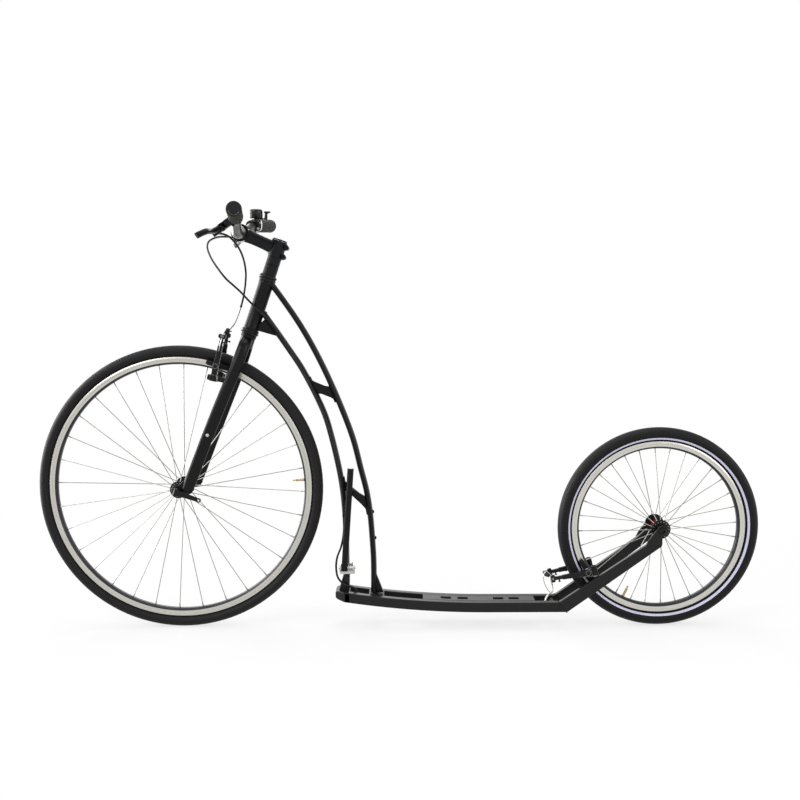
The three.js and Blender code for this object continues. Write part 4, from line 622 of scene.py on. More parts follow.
def hub(name, body, place, barrel):
    half = [(5, 50), (7.4, 50), (8, 49.4), (8, 44.2), (7.6, 43.8), (7.6, 43.2), (8, 42.8), (8, 39.6),
            (9.6, 38.6), (9.6, 33.4), (9.2, 30), (8.2, 24), (7.8, 16), (7.8, 0)]
    other = [(r, -y) for r, y in reversed(half[:-1])]
    marks = [1] * 9 + [0] * 4
    slots = marks + marks[::-1] + [1]
    form = Form().lathe(half + other, axis=Y, sides=40, closed=True, slots=slots)
    form.done(name, body, [barrel, black_alloy], place=place, crease=35)


def valve(prefix, body, place, radius, angle):
    """The inner tube's brass valve, which shows through the rim."""
    tip = radius - VALVE_REACH
    form = Form(turned_by(angle)).rod((0, 0, radius - 9), (0, 0, tip + 9), 3.0, sides=16)
    for i in range(9):
        z = radius - 20 - 2.2 * i
        form.rod((0, 0, z), (0, 0, z - 1.1), 3.15, 3.0, sides=16)
    form.rod((0, 0, tip + 9), (0, 0, tip + 7.4), 3.0, 2.2, sides=16)
    form.rod((0, 0, tip + 7.4), (0, 0, tip + 3.2), 1.5, sides=12)
    form.rod((0, 0, tip + 3.2), (0, 0, tip), 2.3, 2.0, sides=12, edge=0.4)
    form.hexagon((0, 0, radius - 18.2), (0, 0, radius - 20.6), 4.4)
    form.done(prefix + "_valve", body, brass, prefix + "_inner_tube", place)


def wheel(prefix, place, radius, rim_radius, width, flange, start, valve_angle, rubber, track,
          grooves, barrel):
    body = prefix + "_wheel"
    tyre(prefix + "_tyre", body, place, radius, rim_radius, width, rubber, grooves)
    rim(prefix + "_rim", body, place, rim_radius, track)
    for side_name, side in SIDES:
        more = 0 if side < 0 else 180 / SPOKES
        spokes(prefix, body, place, side_name, side, rim_radius, flange, start + more)
    hub(prefix + "_hub", body, place, barrel)
    valve(prefix, body, place, rim_radius, valve_angle)
    middle = (radius + rim_radius) / 2 + 1
    reach = (radius - rim_radius) / 2 - 4.2
    section = [(middle + reach * 0.9 * a, (width / 2 - 4) * 0.85 * b) for a, b in oval(1, 1, 16)]
    inside = Form().lathe(section, axis=Y, sides=ROUND // 2, closed=True)
    inside.done(prefix + "_inner_tube", body, tube_rubber, place=place)
    ribs = Form()
    for _, side in SIDES:
        side_ring(ribs, radius, rim_radius, width, rim_radius + 2.2, rim_radius + 3.4, side, 0.5)
    ribs.done(prefix + "_bead_line", body, rubber, prefix + "_tyre", place)


wheel("front", FRONT_WHEEL, FRONT_WHEEL_RADIUS, FRONT_RIM_RADIUS, FRONT_TYRE_WIDTH, flange=20.5,
      start=13.6, valve_angle=86.7, rubber=front_rubber, track=front_track, grooves=(3.5, 9.0),
      barrel=black_alloy)
wheel("rear", REAR_WHEEL, REAR_WHEEL_RADIUS, REAR_RIM_RADIUS, REAR_TYRE_WIDTH, flange=23,
      start=19.5, valve_angle=205.1, rubber=rear_rubber, track=rear_track, grooves=(4.5, 11.5),
      barrel=red_alloy)

stripes = Form()
for _, side in SIDES:
    side_ring(stripes, REAR_WHEEL_RADIUS, REAR_RIM_RADIUS, REAR_TYRE_WIDTH, 213.6, 218.2, side, 0.25)
stripes.done("rear_tyre_stripe", "rear_wheel", reflective, "rear_tyre", REAR_WHEEL)

# Axles: bolts at the rear, and a quick release at the front
NUT_SEAT = 56.6


def axles():
    rear = Form()
    for _, side in SIDES:
        rear.rod((0, side * 50.6, 0), (0, side * 51, 0), 8, sides=32)
        rear.rod((0, side * NUT_SEAT, 0), (0, side * (NUT_SEAT + 1.6), 0), 9, sides=32, edge=0.4)
        rear.cap_screw((0, side * (NUT_SEAT + 1.6), 0), (0, side * (NUT_SEAT + 8.8), 0), 7.6)
    rear.rod((0, -NUT_SEAT - 2, 0), (0, NUT_SEAT + 2, 0), 4.6)
    rear.done("rear_axle", "frame", black_alloy, place=REAR_WHEEL)
    front = Form().rod((0, -NUT_SEAT - 3.2, 0), (0, NUT_SEAT + 2, 0), 4.6)
    front.rod((0, -NUT_SEAT, 0), (0, -NUT_SEAT - 3.4, 0), 9, sides=32, edge=0.6)
    front.lathe([(9, 0), (9, 3.2), (7.4, 6.2), (6.2, 7.6), (5, 9), (3, 9)], (0, NUT_SEAT, 0), Y, 32)
    for i in range(16):
        angle = 2 * pi * i / 16
        out = vec(cos(angle), 0, sin(angle)) * 8.6
        front.rod(out + Y * NUT_SEAT, out + Y * (NUT_SEAT + 3.2), 0.8, sides=6)
    front.done("front_axle", "steering", black_alloy, place=FRONT_WHEEL)


axles()

AXLE_IN_STEERING = STEERING @ Matrix.Translation((-FORK_RAKE, 0, 0))


def quick_release():
    """The lever: its cam, and a bent blade with a hole at its end."""
    cam_y = -66.3
    form = Form().rod((0, cam_y, -9), (0, cam_y, 9), 6, sides=28, edge=0.8)
    blade = []
    for i in range(15):
        x = 54 * i / 14
        blade.append((vec(x, cam_y - 4.6 + 1.4 * sin(pi * i / 14), 0), 7.2 - 2.4 * i / 14))
    form.sweep([p for p, _ in blade], rounded(1, 1.4 / 7, 0.12, 2), side=Z,
               scales=[(w, 9.4) for _, w in blade])
    ring = [(57.5 + 5.4 * a, 5.4 * b) for a, b in oval(1, 1, 28)]
    hole = [(57.5 + 2.7 * a, 2.7 * b) for a, b in oval(1, 1, 20)]
    form.prism(ring, cam_y - 6, cam_y - 2.6, holes=[hole])
    form.done("quick_release_lever", "quick_release", black_alloy, place=AXLE_IN_STEERING)


quick_release()

# Head tube, headset and spacers
TUBE_HALF = 7.25
TUBE_HALF_WIDTH = 15.0
PLATE_HALF = 7
DECK_TOP = 64.8
DECK_BEND_X = 740
DECK_BEND_RADIUS = 2300
FRONT_TUBE_TOP, FRONT_FOOT_X, FRONT_FOOT_Z = 778, 398, 128.3
REAR_TUBE_TOP, REAR_FOOT_X = 843, 463.5


def column(name, body, profile, finish, crease=32):
    """A piece turned about the steering axis."""
    Form().lathe(profile, sides=64, closed=True).done(name, body, finish, place=STEERING, crease=crease)


def cup_profile(low, high, flip):
    height = high - low
    shares = [(15, 0), (18.6, 0), (19, 0.04), (19, 0.1), (20.9, 0.16), (21.7, 0.26), (21.7, 0.36),
              (20.6, 0.46), (19.4, 0.5), (19.4, 0.54), (20.4, 0.58), (21.2, 0.68), (21.2, 0.8),
              (20.2, 0.92), (18.8, 1), (15, 1)]
    if flip:
        shares = [(r, 1 - t) for r, t in reversed(shares)]
    return [(r, low + height * t) for r, t in shares]


column("head_tube", "frame", [
    (16, HEAD_TUBE_BOTTOM + 0.3), (18.8, HEAD_TUBE_BOTTOM + 0.3), (19.1, HEAD_TUBE_BOTTOM + 0.9),
    (19.1, HEAD_TUBE_BOTTOM + 6), (18.5, HEAD_TUBE_BOTTOM + 7.5), (18.5, HEAD_TUBE_TOP - 7.5),
    (19.1, HEAD_TUBE_TOP - 6), (19.1, HEAD_TUBE_TOP - 0.6), (18.8, HEAD_TUBE_TOP), (16, HEAD_TUBE_TOP),
], paint)
column("headset_lower_cup", "frame", cup_profile(CROWN_TOP + GAP, HEAD_TUBE_BOTTOM, False),
       black_alloy, crease=60)
column("headset_upper_cup", "frame", cup_profile(HEAD_TUBE_TOP + GAP, HEADSET_TOP, True),
       black_alloy, crease=60)


def spacer(name, low, high):
    Form().collar(14.6, 17.5, low, high, 0.5).done(name, "steering", gloss_alloy)


spacer("spacer_lower", HEADSET_TOP + GAP, LOWER_SPACER_TOP)
spacer("spacer_upper", LOWER_SPACER_TOP + GAP, STEM_BOTTOM)

# Frame tubes
FRONT_SHARES = [(0, 0), (0.132, 0.058), (0.349, 0.157), (0.509, 0.235), (0.75, 0.391), (0.829, 0.473),
                (0.925, 0.608), (0.964, 0.687), (0.985, 0.763), (0.995, 0.839), (1, 1)]
REAR_SHARES = [(0, 0), (0.061, 0.027), (0.315, 0.148), (0.54, 0.286), (0.794, 0.489), (0.885, 0.604),
               (0.936, 0.671), (0.967, 0.737), (0.99, 0.831), (1, 0.896), (1, 1)]


def head_axis_x(z):
    return STEERING_X + (z - STEERING_Z) * tan(TILT)


def rail_top(x):
    """The height of the deck's rails, which rise ahead of the bend."""
    run = max(DECK_BEND_X - x, 0)
    return DECK_TOP + DECK_BEND_RADIUS - sqrt(DECK_BEND_RADIUS ** 2 - run ** 2)


def tube_line(top_z, foot_x, foot_z, shares):
    top_x = head_axis_x(top_z)
    return [vec(top_x + (foot_x - top_x) * a, 0, top_z + (foot_z - top_z) * b) for a, b in shares]


REAR_FOOT_Z = rail_top(REAR_FOOT_X) + GAP
front_line = smooth_path(tube_line(FRONT_TUBE_TOP, FRONT_FOOT_X, FRONT_FOOT_Z, FRONT_SHARES), 90)
rear_line = smooth_path(tube_line(REAR_TUBE_TOP, REAR_FOOT_X, REAR_FOOT_Z, REAR_SHARES), 90)


def line_x(line, z):
    return min(line, key=lambda p: abs(p.z - z)).x


def from_steering(x, y, z):
    turned = Matrix.Rotation(TILT, 3, "Y") @ vec(x, y, z)
    return turned + vec(STEERING_X, 0, STEERING_Z)


def frame_tubes():
    section = oval(TUBE_HALF_WIDTH, TUBE_HALF, 40)
    Form().sweep(front_line, section, side=Y).done("front_frame_tube", "frame", paint, crease=60)
    corner = from_steering(6, 0, 419.4)
    back = from_steering(18.5, 0, 419.4)
    gusset = Form().prism([(corner.x, corner.z), (back.x, back.z),
                           (line_x(front_line, back.z - 14.5), back.z - 14.5),
                           (line_x(front_line, back.z + 30), back.z + 30)], -PLATE_HALF, PLATE_HALF)
    gusset.done("head_gusset", "frame", paint, "front_frame_tube", bevel=1.5)
    Form().sweep(rear_line, section, side=Y).done("rear_frame_tube", "frame", paint, crease=60)
    foot = REAR_FOOT_Z
    wedge = Form().prism([(REAR_FOOT_X, foot), (487.7, foot), (486.5, foot + 3), (472.4, foot + 40),
                          (470.75, foot + 46), (REAR_FOOT_X, foot + 46)], -PLATE_HALF, PLATE_HALF)
    wedge.done("rear_tube_gusset", "frame", paint, "rear_frame_tube", bevel=1.5)
    bosses = Form()
    for z in (281, 216.5):
        x = line_x(rear_line, z) + TUBE_HALF
        bosses.rod((x - 1, 0, z), (x + 1.2, 0, z), 4.6, sides=24, edge=0.3)
        bosses.cap_screw((x + 1.2, 0, z), (x + 3, 0, z), 3.4)
    bosses.done("bottle_bosses", "frame", black_alloy, "rear_frame_tube")


WAIST = ((0, 0), (0.18, 0.04), (0.3, 0.1), (0.7, 0.1), (0.82, 0.04), (1, 0))


def struts():
    for name, heights in (("upper_strut", (609, 571, 584, 549)), ("lower_strut", (366, 340, 314, 276))):
        front_high, front_low, rear_high, rear_low = heights
        a = vec(line_x(front_line, front_high), 0, front_high)
        b = vec(line_x(front_line, front_low), 0, front_low)
        c = vec(line_x(rear_line, rear_low), 0, rear_low)
        d = vec(line_x(rear_line, rear_high), 0, rear_high)
        upper, lower = [], []
        for share, pinch in WAIST:
            high, low = a.lerp(d, share), b.lerp(c, share)
            upper.append(high.lerp(low, pinch))
            lower.append(low.lerp(high, pinch))
        outline = [(p.x, p.z) for p in upper] + [(p.x, p.z) for p in reversed(lower)]
        Form().prism(outline, -PLATE_HALF, PLATE_HALF).done(name, "frame", paint, bevel=3, segments=3)
        beads = Form()
        for high, low, out in ((upper[0], lower[0], 1), (upper[-1], lower[-1], -1)):
            shift = X * out * 7.6
            beads.ripple([high + shift + Y * 6.6, high + shift - Y * 6.6, low + shift - Y * 6.6,
                          low + shift + Y * 6.6], 1.7)
        beads.done(name + "_welds", "frame", paint, name)


frame_tubes()
struts()

# Deck: two rails, nose, pedestal, cross bars and the slotted plate
DECK_HALF = 40.0
RAIL_WIDTH = 19.0
RAIL_HEIGHT = 24.0
NOSE_X = 393
RAIL_END_X = 909
CROSS_HALF = 22
BACK_BAR_X, BACK_BAR_Z = 898, 52.8
PLATE_X, PLATE_LENGTH = 583, 271


def deck_strip(start, end, top_drop, bottom_drop, steps):
    xs = [start + (end - start) * i / steps for i in range(steps + 1)]
    return ([(x, rail_top(x) - bottom_drop) for x in xs]
            + [(x, rail_top(x) - top_drop) for x in reversed(xs)])


def deck():
    """The deck's frame and the weld beads about the tubes."""
    for side_name, side in SIDES:
        outline = deck_strip(NOSE_X, RAIL_END_X, 0, RAIL_HEIGHT, 30)
        outline.insert(31, (RAIL_END_X + 20, DECK_TOP - RAIL_HEIGHT))
        rail = Form().prism(outline, side * (DECK_HALF - RAIL_WIDTH), side * DECK_HALF)
        rail.done("deck_rail_" + side_name, "frame", deck_paint, "deck_frame", bevel=2.2, segments=3)
    top = rail_top(NOSE_X)
    nose = Form()
    rings = []
    for x, half, low, high in ((371, 22, 17, 3), (374, 25, 19, 0.6), (378, 28.4, 20.6, 0),
                               (NOSE_X, 40, 24, 0), (407, 40, 24, 0)):
        crest = rail_top(max(x, NOSE_X))
        rings.append([vec(x, y, crest - drop)
                      for y, drop in ((-half, low), (half, low), (half, high), (-half, high))])
    nose.skin(rings)
    nose.done("deck_nose", "frame", deck_paint, "deck_frame", bevel=2, segments=3)
    pedestal = Form().prism([(378, top - 4), (404.5, top - 4), (405.2, 128), (390.4, 128)], -15, 15)
    pedestal.done("deck_pedestal", "frame", deck_paint, "deck_frame", bevel=2)
    bars = Form().prism(deck_strip(452, 489, 0, 12, 4), -CROSS_HALF, CROSS_HALF)
    bars.prism(deck_strip(399, 406, 0, 20, 2), -CROSS_HALF, CROSS_HALF)
    bars.done("deck_cross_bar", "frame", deck_paint, "deck_frame", bevel=1.5)
    back = Form().rod((BACK_BAR_X, -CROSS_HALF, BACK_BAR_Z), (BACK_BAR_X, CROSS_HALF, BACK_BAR_Z), 8,
                      sides=32)
    for y in (-21.4, 21.4):
        back.ripple([(BACK_BAR_X + a, y, BACK_BAR_Z + b) for a, b in oval(8.2, 8.2, 16)], 1.3)
    back.done("deck_rear_bar", "frame", deck_paint, "deck_frame")
    welds = Form()
    for x, z, radius in ((REAR_FOOT_X, rail_top(REAR_FOOT_X) + 0.5, 1.7), (397.8, 128.2, 1.5)):
        welds.ripple([(x + 8 * b, 15.6 * a, z) for a, b in oval(1, 1, 32)], radius)
    for line, reach in ((front_line, 19 * 1.03), (rear_line, 19.2 * 1.03)):
        near = min(line, key=lambda p: abs((p.x - head_axis_x(p.z)) - reach))
        along = (line[line.index(near) + 1] - near).normalized()
        square = Y.cross(along)
        welds.ripple([near + Y * 15.2 * a + square * 7.6 * b - along * (2.2 * abs(a))
                      for a, b in oval(1, 1, 28)], 1.6)
    welds.done("frame_welds", "frame", paint, "deck_frame")


def deck_plate():
    half = DECK_HALF - RAIL_WIDTH - GAP
    xs = [PLATE_X + PLATE_LENGTH * i / 24 for i in range(25)]
    outline = [(x, -half) for x in xs] + [(x, half) for x in reversed(xs)]
    holes = []
    for share in (0.16, 0.31, 0.63, 0.77):
        x = PLATE_X + PLATE_LENGTH * share
        holes.append(arc(x + 4, -5, 4, 180, 270, 5) + arc(x + 22, -5, 4, 270, 360, 5)
                     + arc(x + 22, 5, 4, 0, 90, 5) + arc(x + 4, 5, 4, 90, 180, 5))
    form = Form().slab(outline, DECK_TOP - 4, DECK_TOP, holes=holes)
    for vertex in form.bm.verts:
        vertex.co.z += rail_top(vertex.co.x) - DECK_TOP
    form.done("deck_plate", "frame", sheet_paint, bevel=0.5)


deck()
deck_plate()

# Rear arms, which splay out from the deck to the rear axle
REAR_PIVOT = vec(994, 38.497, 142)
REAR_ARM, REAR_PIN = sloping(11.8)
FRONT_PIVOT = vec(-43, 42, 282.5)
FRONT_PIN, FRONT_ARM = sloping(6.3)
ARM_SPLAY = radians(3.7)
DROPOUT_IN, DROPOUT_OUT = 50.3, 56.3


def pivot_boss(form, centre, pin, shoulder):
    """The stud that a brake arm turns on, with the bolt that holds the arm."""
    form.rod(centre - pin * (9.3 + shoulder), centre - pin * 9.3, 6, sides=28, edge=0.5)
    form.rod(centre - pin * 10, centre + pin * 9, 4, sides=20)
    form.cap_screw(centre + pin * 8.3, centre + pin * 13.6, 6.8)


def rear_arms():
    for side_name, side in SIDES:
        hinge = Matrix.Translation((RAIL_END_X, side * DECK_HALF, 0))
        beam = Form(hinge @ Matrix.Rotation(ARM_SPLAY * side, 4, "Z"))
        beam.prism([(0.4, DECK_TOP), (20.4, DECK_TOP - RAIL_HEIGHT), (242.5, 205), (242.5, 229),
                    (225, 229), (225, 221)], -14 * side, 0)
        beam.done("rear_arm_" + side_name, "frame", deck_paint, bevel=2, segments=3)
        inner = Form().prism(dropout_outline(), side * DROPOUT_IN, side * DROPOUT_OUT)
        inner.done("rear_dropout_" + side_name, "frame", deck_paint, "rear_arm_" + side_name, bevel=1)
        boss = Form()
        pivot_boss(boss, on_side(REAR_PIVOT, side), REAR_PIN, 20)
        boss.done("rear_brake_boss_" + side_name, "frame", black_alloy, "rear_arm_" + side_name)
        y0, y1 = side * 26.5, side * 40.4
        joint = Form().ripple([(908.6, y0, 65), (908.6, y1, 65), (928.8, y1, 40.7), (928.8, y0, 40.7)],
                              1.2)
        joint.done("rear_arm_weld_" + side_name, "frame", deck_paint, "rear_arm_" + side_name)


def dropout_outline():
    points = [(1111, 204), (1117, 217)]
    for i in range(17):
        angle = pi * (0.85 - 1.35 * i / 16)
        points.append((WHEELBASE + 13.3 * cos(angle), REAR_WHEEL_RADIUS + 13 * sin(angle)))
    return points + [(1151.5, 229), (1151.5, 209)]


rear_arms()

# Fork
LEG_SHARES = [(0.97, 0.16, 0), (0.93, 0.5, 0), (0.84, 0.68, 0.02), (0.7, 0.8, 0.2), (0.5, 0.93, 0.48),
              (0.3, 0.99, 0.72), (0, 1, 1)]
LEG_SPREAD = 55.5
LEG_SETBACK = 16.8
LEG_BOTTOM = 9
LEG_STEPS = 60
LEG_SECTION = oval(9.5, 14.5, 40)
MOUNT_X, MOUNT_Z = -11.2, 152.4


def fork():
    """Two legs with their dropouts, brake studs, eyelets and bolts, and the crown with the steerer."""
    for side_name, side in SIDES:
        height = CROWN_TOP - LEG_BOTTOM
        points = [vec(-LEG_SETBACK * back, side * LEG_SPREAD * out, LEG_BOTTOM + height * up)
                  for up, out, back in LEG_SHARES]
        path = smooth_path(points, LEG_STEPS)
        scales = []
        for i in range(LEG_STEPS + 1):
            share = i / LEG_STEPS
            swell = 1 + 0.12 * max(0, 1 - share * 7)
            foot = 1 - 0.1 * max(0, (share - 0.9) / 0.1) ** 2
            scales.append((swell * foot, foot))
        leg = Form().sweep(path, LEG_SECTION, side=Y, scales=scales)
        end = path[-1]
        leg.sweep([end, end - Z * 2.4, end - Z * 4.2, end - Z * 5], LEG_SECTION, side=Y,
                  scales=[(0.9, 0.9), (0.84, 0.84), (0.66, 0.66), (0.4, 0.4)])
        leg.done("fork_leg_" + side_name, "steering", paint, "fork", crease=60)
        outline = []
        for i in range(17):
            angle = pi * (0.55 + 1.1 * i / 16)
            outline.append((-FORK_RAKE + 13 * cos(angle), 13 * sin(angle)))
        outline += [(-7.2, 4), (-7.1, 38), (-26.4, 38)]
        plate = Form().prism(outline, side * DROPOUT_IN, side * DROPOUT_OUT)
        plate.done("fork_dropout_" + side_name, "steering", paint, "fork", bevel=1.2)
        boss = Form()
        pivot_boss(boss, on_side(FRONT_PIVOT, side), FRONT_PIN, 21)
        boss.done("front_brake_boss_" + side_name, "steering", black_alloy, "fork")
        eyelet = Form().collar(2.6, 4.8, -3, 3, base=(-6.5, side * 53.3, 16), axis=Y, sides=24)
        eyelet.done("fork_eyelet_" + side_name, "steering", paint, "fork")
        out = side * 61
        bolt = Form().rod((MOUNT_X, out, MOUNT_Z), (MOUNT_X, out + side * 2.8, MOUNT_Z), 4.6, 3.9,
                          sides=28)
        bolt.cap_screw((MOUNT_X, out + side * 2.6, MOUNT_Z), (MOUNT_X, out + side * 3.9, MOUNT_Z), 3.4)
        bolt.done("fork_bolt_" + side_name, "steering", bright_steel, "fork")
    crown = Form().lathe([(11, 372), (15.6, 373), (17, 376), (17.4, 386), (17.4, 396), (18.6, 399),
                          (18.6, 403.4), (18, 404), (14.3, 404), (14.3, 635.3), (11.6, 635.3),
                          (11.6, 374)], sides=64, closed=True)
    crown.done("fork_crown", "steering", paint, "fork")


fork()

# Stem: clamp on the steerer, flat-sided extension, bar clamp with its faceplate, bolts and top cap
PINCH_HEIGHTS = (STEM_BOTTOM + 6.7, STEM_BOTTOM + 29.9)


def stem():
    """Clamps, extension, faceplate, cap and bolts."""
    low, high = STEM_BOTTOM + GAP, STEM_TOP
    form = Form().lathe([(14.6, low), (18.2, low), (18.8, low + 0.7), (18.8, high - 0.7), (18.2, high),
                         (14.6, high)], sides=64, closed=True)
    form.done("stem_clamp", "steering", gloss_alloy, "stem")
    lugs = Form()
    for side in (-1, 1):
        for z in PINCH_HEIGHTS:
            shape = [(13, z - 7.2), (21, z - 7.2), *arc(21, z, 6.2, -60, 60, 8), (21, z + 7.2),
                     (13, z + 7.2)]
            lugs.prism(shape, side * 1.2, side * 11)
    lugs.done("stem_lugs", "steering", gloss_alloy, "stem", bevel=0.8)
    start = vec(-10, 0, STEM_MIDDLE + 0.6)
    end = vec(-STEM_REACH + 17, 0, BAR_HEIGHT - 1.2)
    path = [start.lerp(end, i / 10) for i in range(11)]
    scales = [(1.0 + 0.1 * abs(i / 5 - 1) ** 3, 1.0 + 0.14 * abs(i / 5 - 1) ** 3) for i in range(11)]
    arm = Form().sweep(path, rounded(12.6, 14.6, 7.5, 6), side=Y, scales=scales)
    arm.done("stem_extension", "steering", gloss_alloy, "stem", crease=50)
    at_bar = Matrix.Translation((-STEM_REACH, 0, BAR_HEIGHT))
    for name, node, start_angle, end_angle in (("stem_bar_clamp", "stem", -92, 92),
                                               ("stem_faceplate", None, 95, 265)):
        outer = arc(0, 0, 21, start_angle, end_angle, 30)
        inner = arc(0, 0, 16.2, end_angle, start_angle, 30)
        shell = Form(at_bar).prism(outer + inner, -21, 21)
        if node == "stem":
            for z in (-1, 1):
                shell.prism([(1, 16 * z), (1, 20.6 * z), (9, 19.6 * z), (9, 16 * z)], -20, 20)
        shell.done(name, "steering", gloss_alloy, node, bevel=0.9)
    bolts = Form(at_bar)
    for y in (-14, 14):
        for z in (-17.4, 17.4):
            bolts.cap_screw((-7.4, y, z), (-11.6, y, z), 3)
    bolts.done("faceplate_bolts", "steering", bright_steel, "stem_faceplate")
    base = STEM_TOP + GAP
    cap = Form().lathe([(4.5, base), (17, base), (17.5, base + 0.5), (17.5, base + 2), (16, base + 3.4),
                        (12, base + 4), (5.4, base + 4), (4.5, base + 3.2)], sides=64, closed=True)
    cap.done("stem_top_cap", "steering", gloss_alloy)
    screw = Form().cap_screw((0, 0, base + 1.4), (0, 0, base + 6), 4.4)
    screw.done("top_cap_bolt", "steering", bright_steel, "stem_top_cap")
    for label, z in zip(("lower", "upper"), PINCH_HEIGHTS):
        bolt = Form().rod((21.5, -13, z), (21.5, 13, z), 3, sides=16)
        bolt.cap_screw((21.5, -11.3, z), (21.5, -16.3, z), 5)
        bolt.done("stem_bolt_" + label, "steering", black_alloy)


stem()

# Handlebar, grips and brake levers
BAR_HALF = 298
BAR_SWEEP = 18.4
BAR_RISE = 41.4
CLAMP_RADIUS = 15.9
BAR_RADIUS = 11.1
GRIP_START = 168
GRIP_END = 302
BAR_SHARES = [(0, 0, 0), (0.12, 0, 0), (0.2, 0.03, 0), (0.29, 0.22, 0.02), (0.386, 0.51, 0.05),
              (0.475, 0.66, 0.1)]


def bar_point(across, up, back):
    return vec(BAR_SWEEP * back - STEM_REACH, BAR_HALF * across, BAR_HEIGHT + BAR_RISE * up)


STRAIGHT_START = bar_point(*BAR_SHARES[-1])
BAR_END = bar_point(1, 1, 1)


def bar_at(across):
    share = (across - STRAIGHT_START.y) / (BAR_END.y - STRAIGHT_START.y)
    return STRAIGHT_START.lerp(BAR_END, share)


def handlebar():
    half = [bar_point(*shares) for shares in BAR_SHARES]
    path = smooth_path([on_side(p, -1) for p in reversed(half[1:])] + half, 120)
    left_end = on_side(BAR_END, -1)
    path = [left_end.lerp(path[0], i / 16) for i in range(16)] + path
    path += [path[-1].lerp(BAR_END, i / 16) for i in range(1, 17)]
    scales = []
    for p in path:
        share = min(max((abs(p.y) - 40) / 40, 0), 1)
        smooth = share * share * (3 - 2 * share)
        radius = CLAMP_RADIUS + (BAR_RADIUS - CLAMP_RADIUS) * smooth
        scales.append((radius, radius))
    Form().sweep(path, oval(1, 1, 40), scales=scales).done("handlebar", "steering", grey_alloy, crease=60)


def across_bar(out, angle):
    """A direction square to the grip, turned by an angle from its own rear."""
    up = (Z - out * out.z).normalized()
    return out.cross(up) * cos(angle) + up * sin(angle)


def grips():
    for side_name, side in SIDES:
        start, end = on_side(bar_at(GRIP_START), side), on_side(bar_at(GRIP_END), side)
        length = (end - start).length
        profile = [(11.5, 0), (15.6, 0), (16.6, 0.8), (17, 2), (17, 5.6), (16, 6.6)]
        at = 8.0
        while at < length - 8:
            profile += [(16.4, at), (16.75, at + 0.7), (16.75, at + 1.9), (16.1, at + 2.6)]
            at += 3.3
        profile += [(16.6, length - 5), (17, length - 4), (17, length - 1.4), (16.2, length - 0.3),
                    (14.6, length), (14.4, length - 0.5), (13.6, length - 0.5), (13.4, length)]
        form = Form().lathe(profile + [(0.5, length)], start, end - start, 48)
        form.done("grip_" + side_name, "steering", grip_rubber, crease=60)
        cap_lines = Form()
        out = (end - start).normalized()
        cap = Form().lathe([(0.5, -1), (13.2, -1), (13.2, 0.05), (12.6, 0.3), (11, 0.3), (10.8, 0.05),
                            (9, 0.12), (0.5, 0.16)], end, out, 48)
        for turned in (0.9, 3.3, 4.6):
            ring = []
            for i in range(13):
                angle = turned + 1.1 * i / 12
                ring.append(end + out * 0.15 + across_bar(out, angle) * 12.1)
            cap_lines.tube(ring, 0.6, 8)
        cap_lines.done("grip_cap_lines_" + side_name, "steering", grey_alloy, "grip_" + side_name)
        cap.done("grip_cap_" + side_name, "steering", grip_cap, "grip_" + side_name)


LEVER_PLACE = 156.2
LEVER_BARREL = 59
LEVER_PIVOT = 38
BLADE_RISE = 44
BLADE_LENGTH = 104
BLADE_STEPS = 40
BLADE_SHARES = ((0, 0), (0.1, 0.3), (0.25, 0.43), (0.5, 0.49), (0.7, 0.55), (0.86, 0.72), (1, 1))
LEVER_LINE, LEVER_BACK = sloping(52.8)
LEVER_PIN = -LEVER_BACK


def lever_matrix(side):
    rows = Matrix((LEVER_LINE, Y * side, LEVER_PIN)).transposed().to_4x4()
    return Matrix.Translation(on_side(bar_at(LEVER_PLACE), side)) @ rows


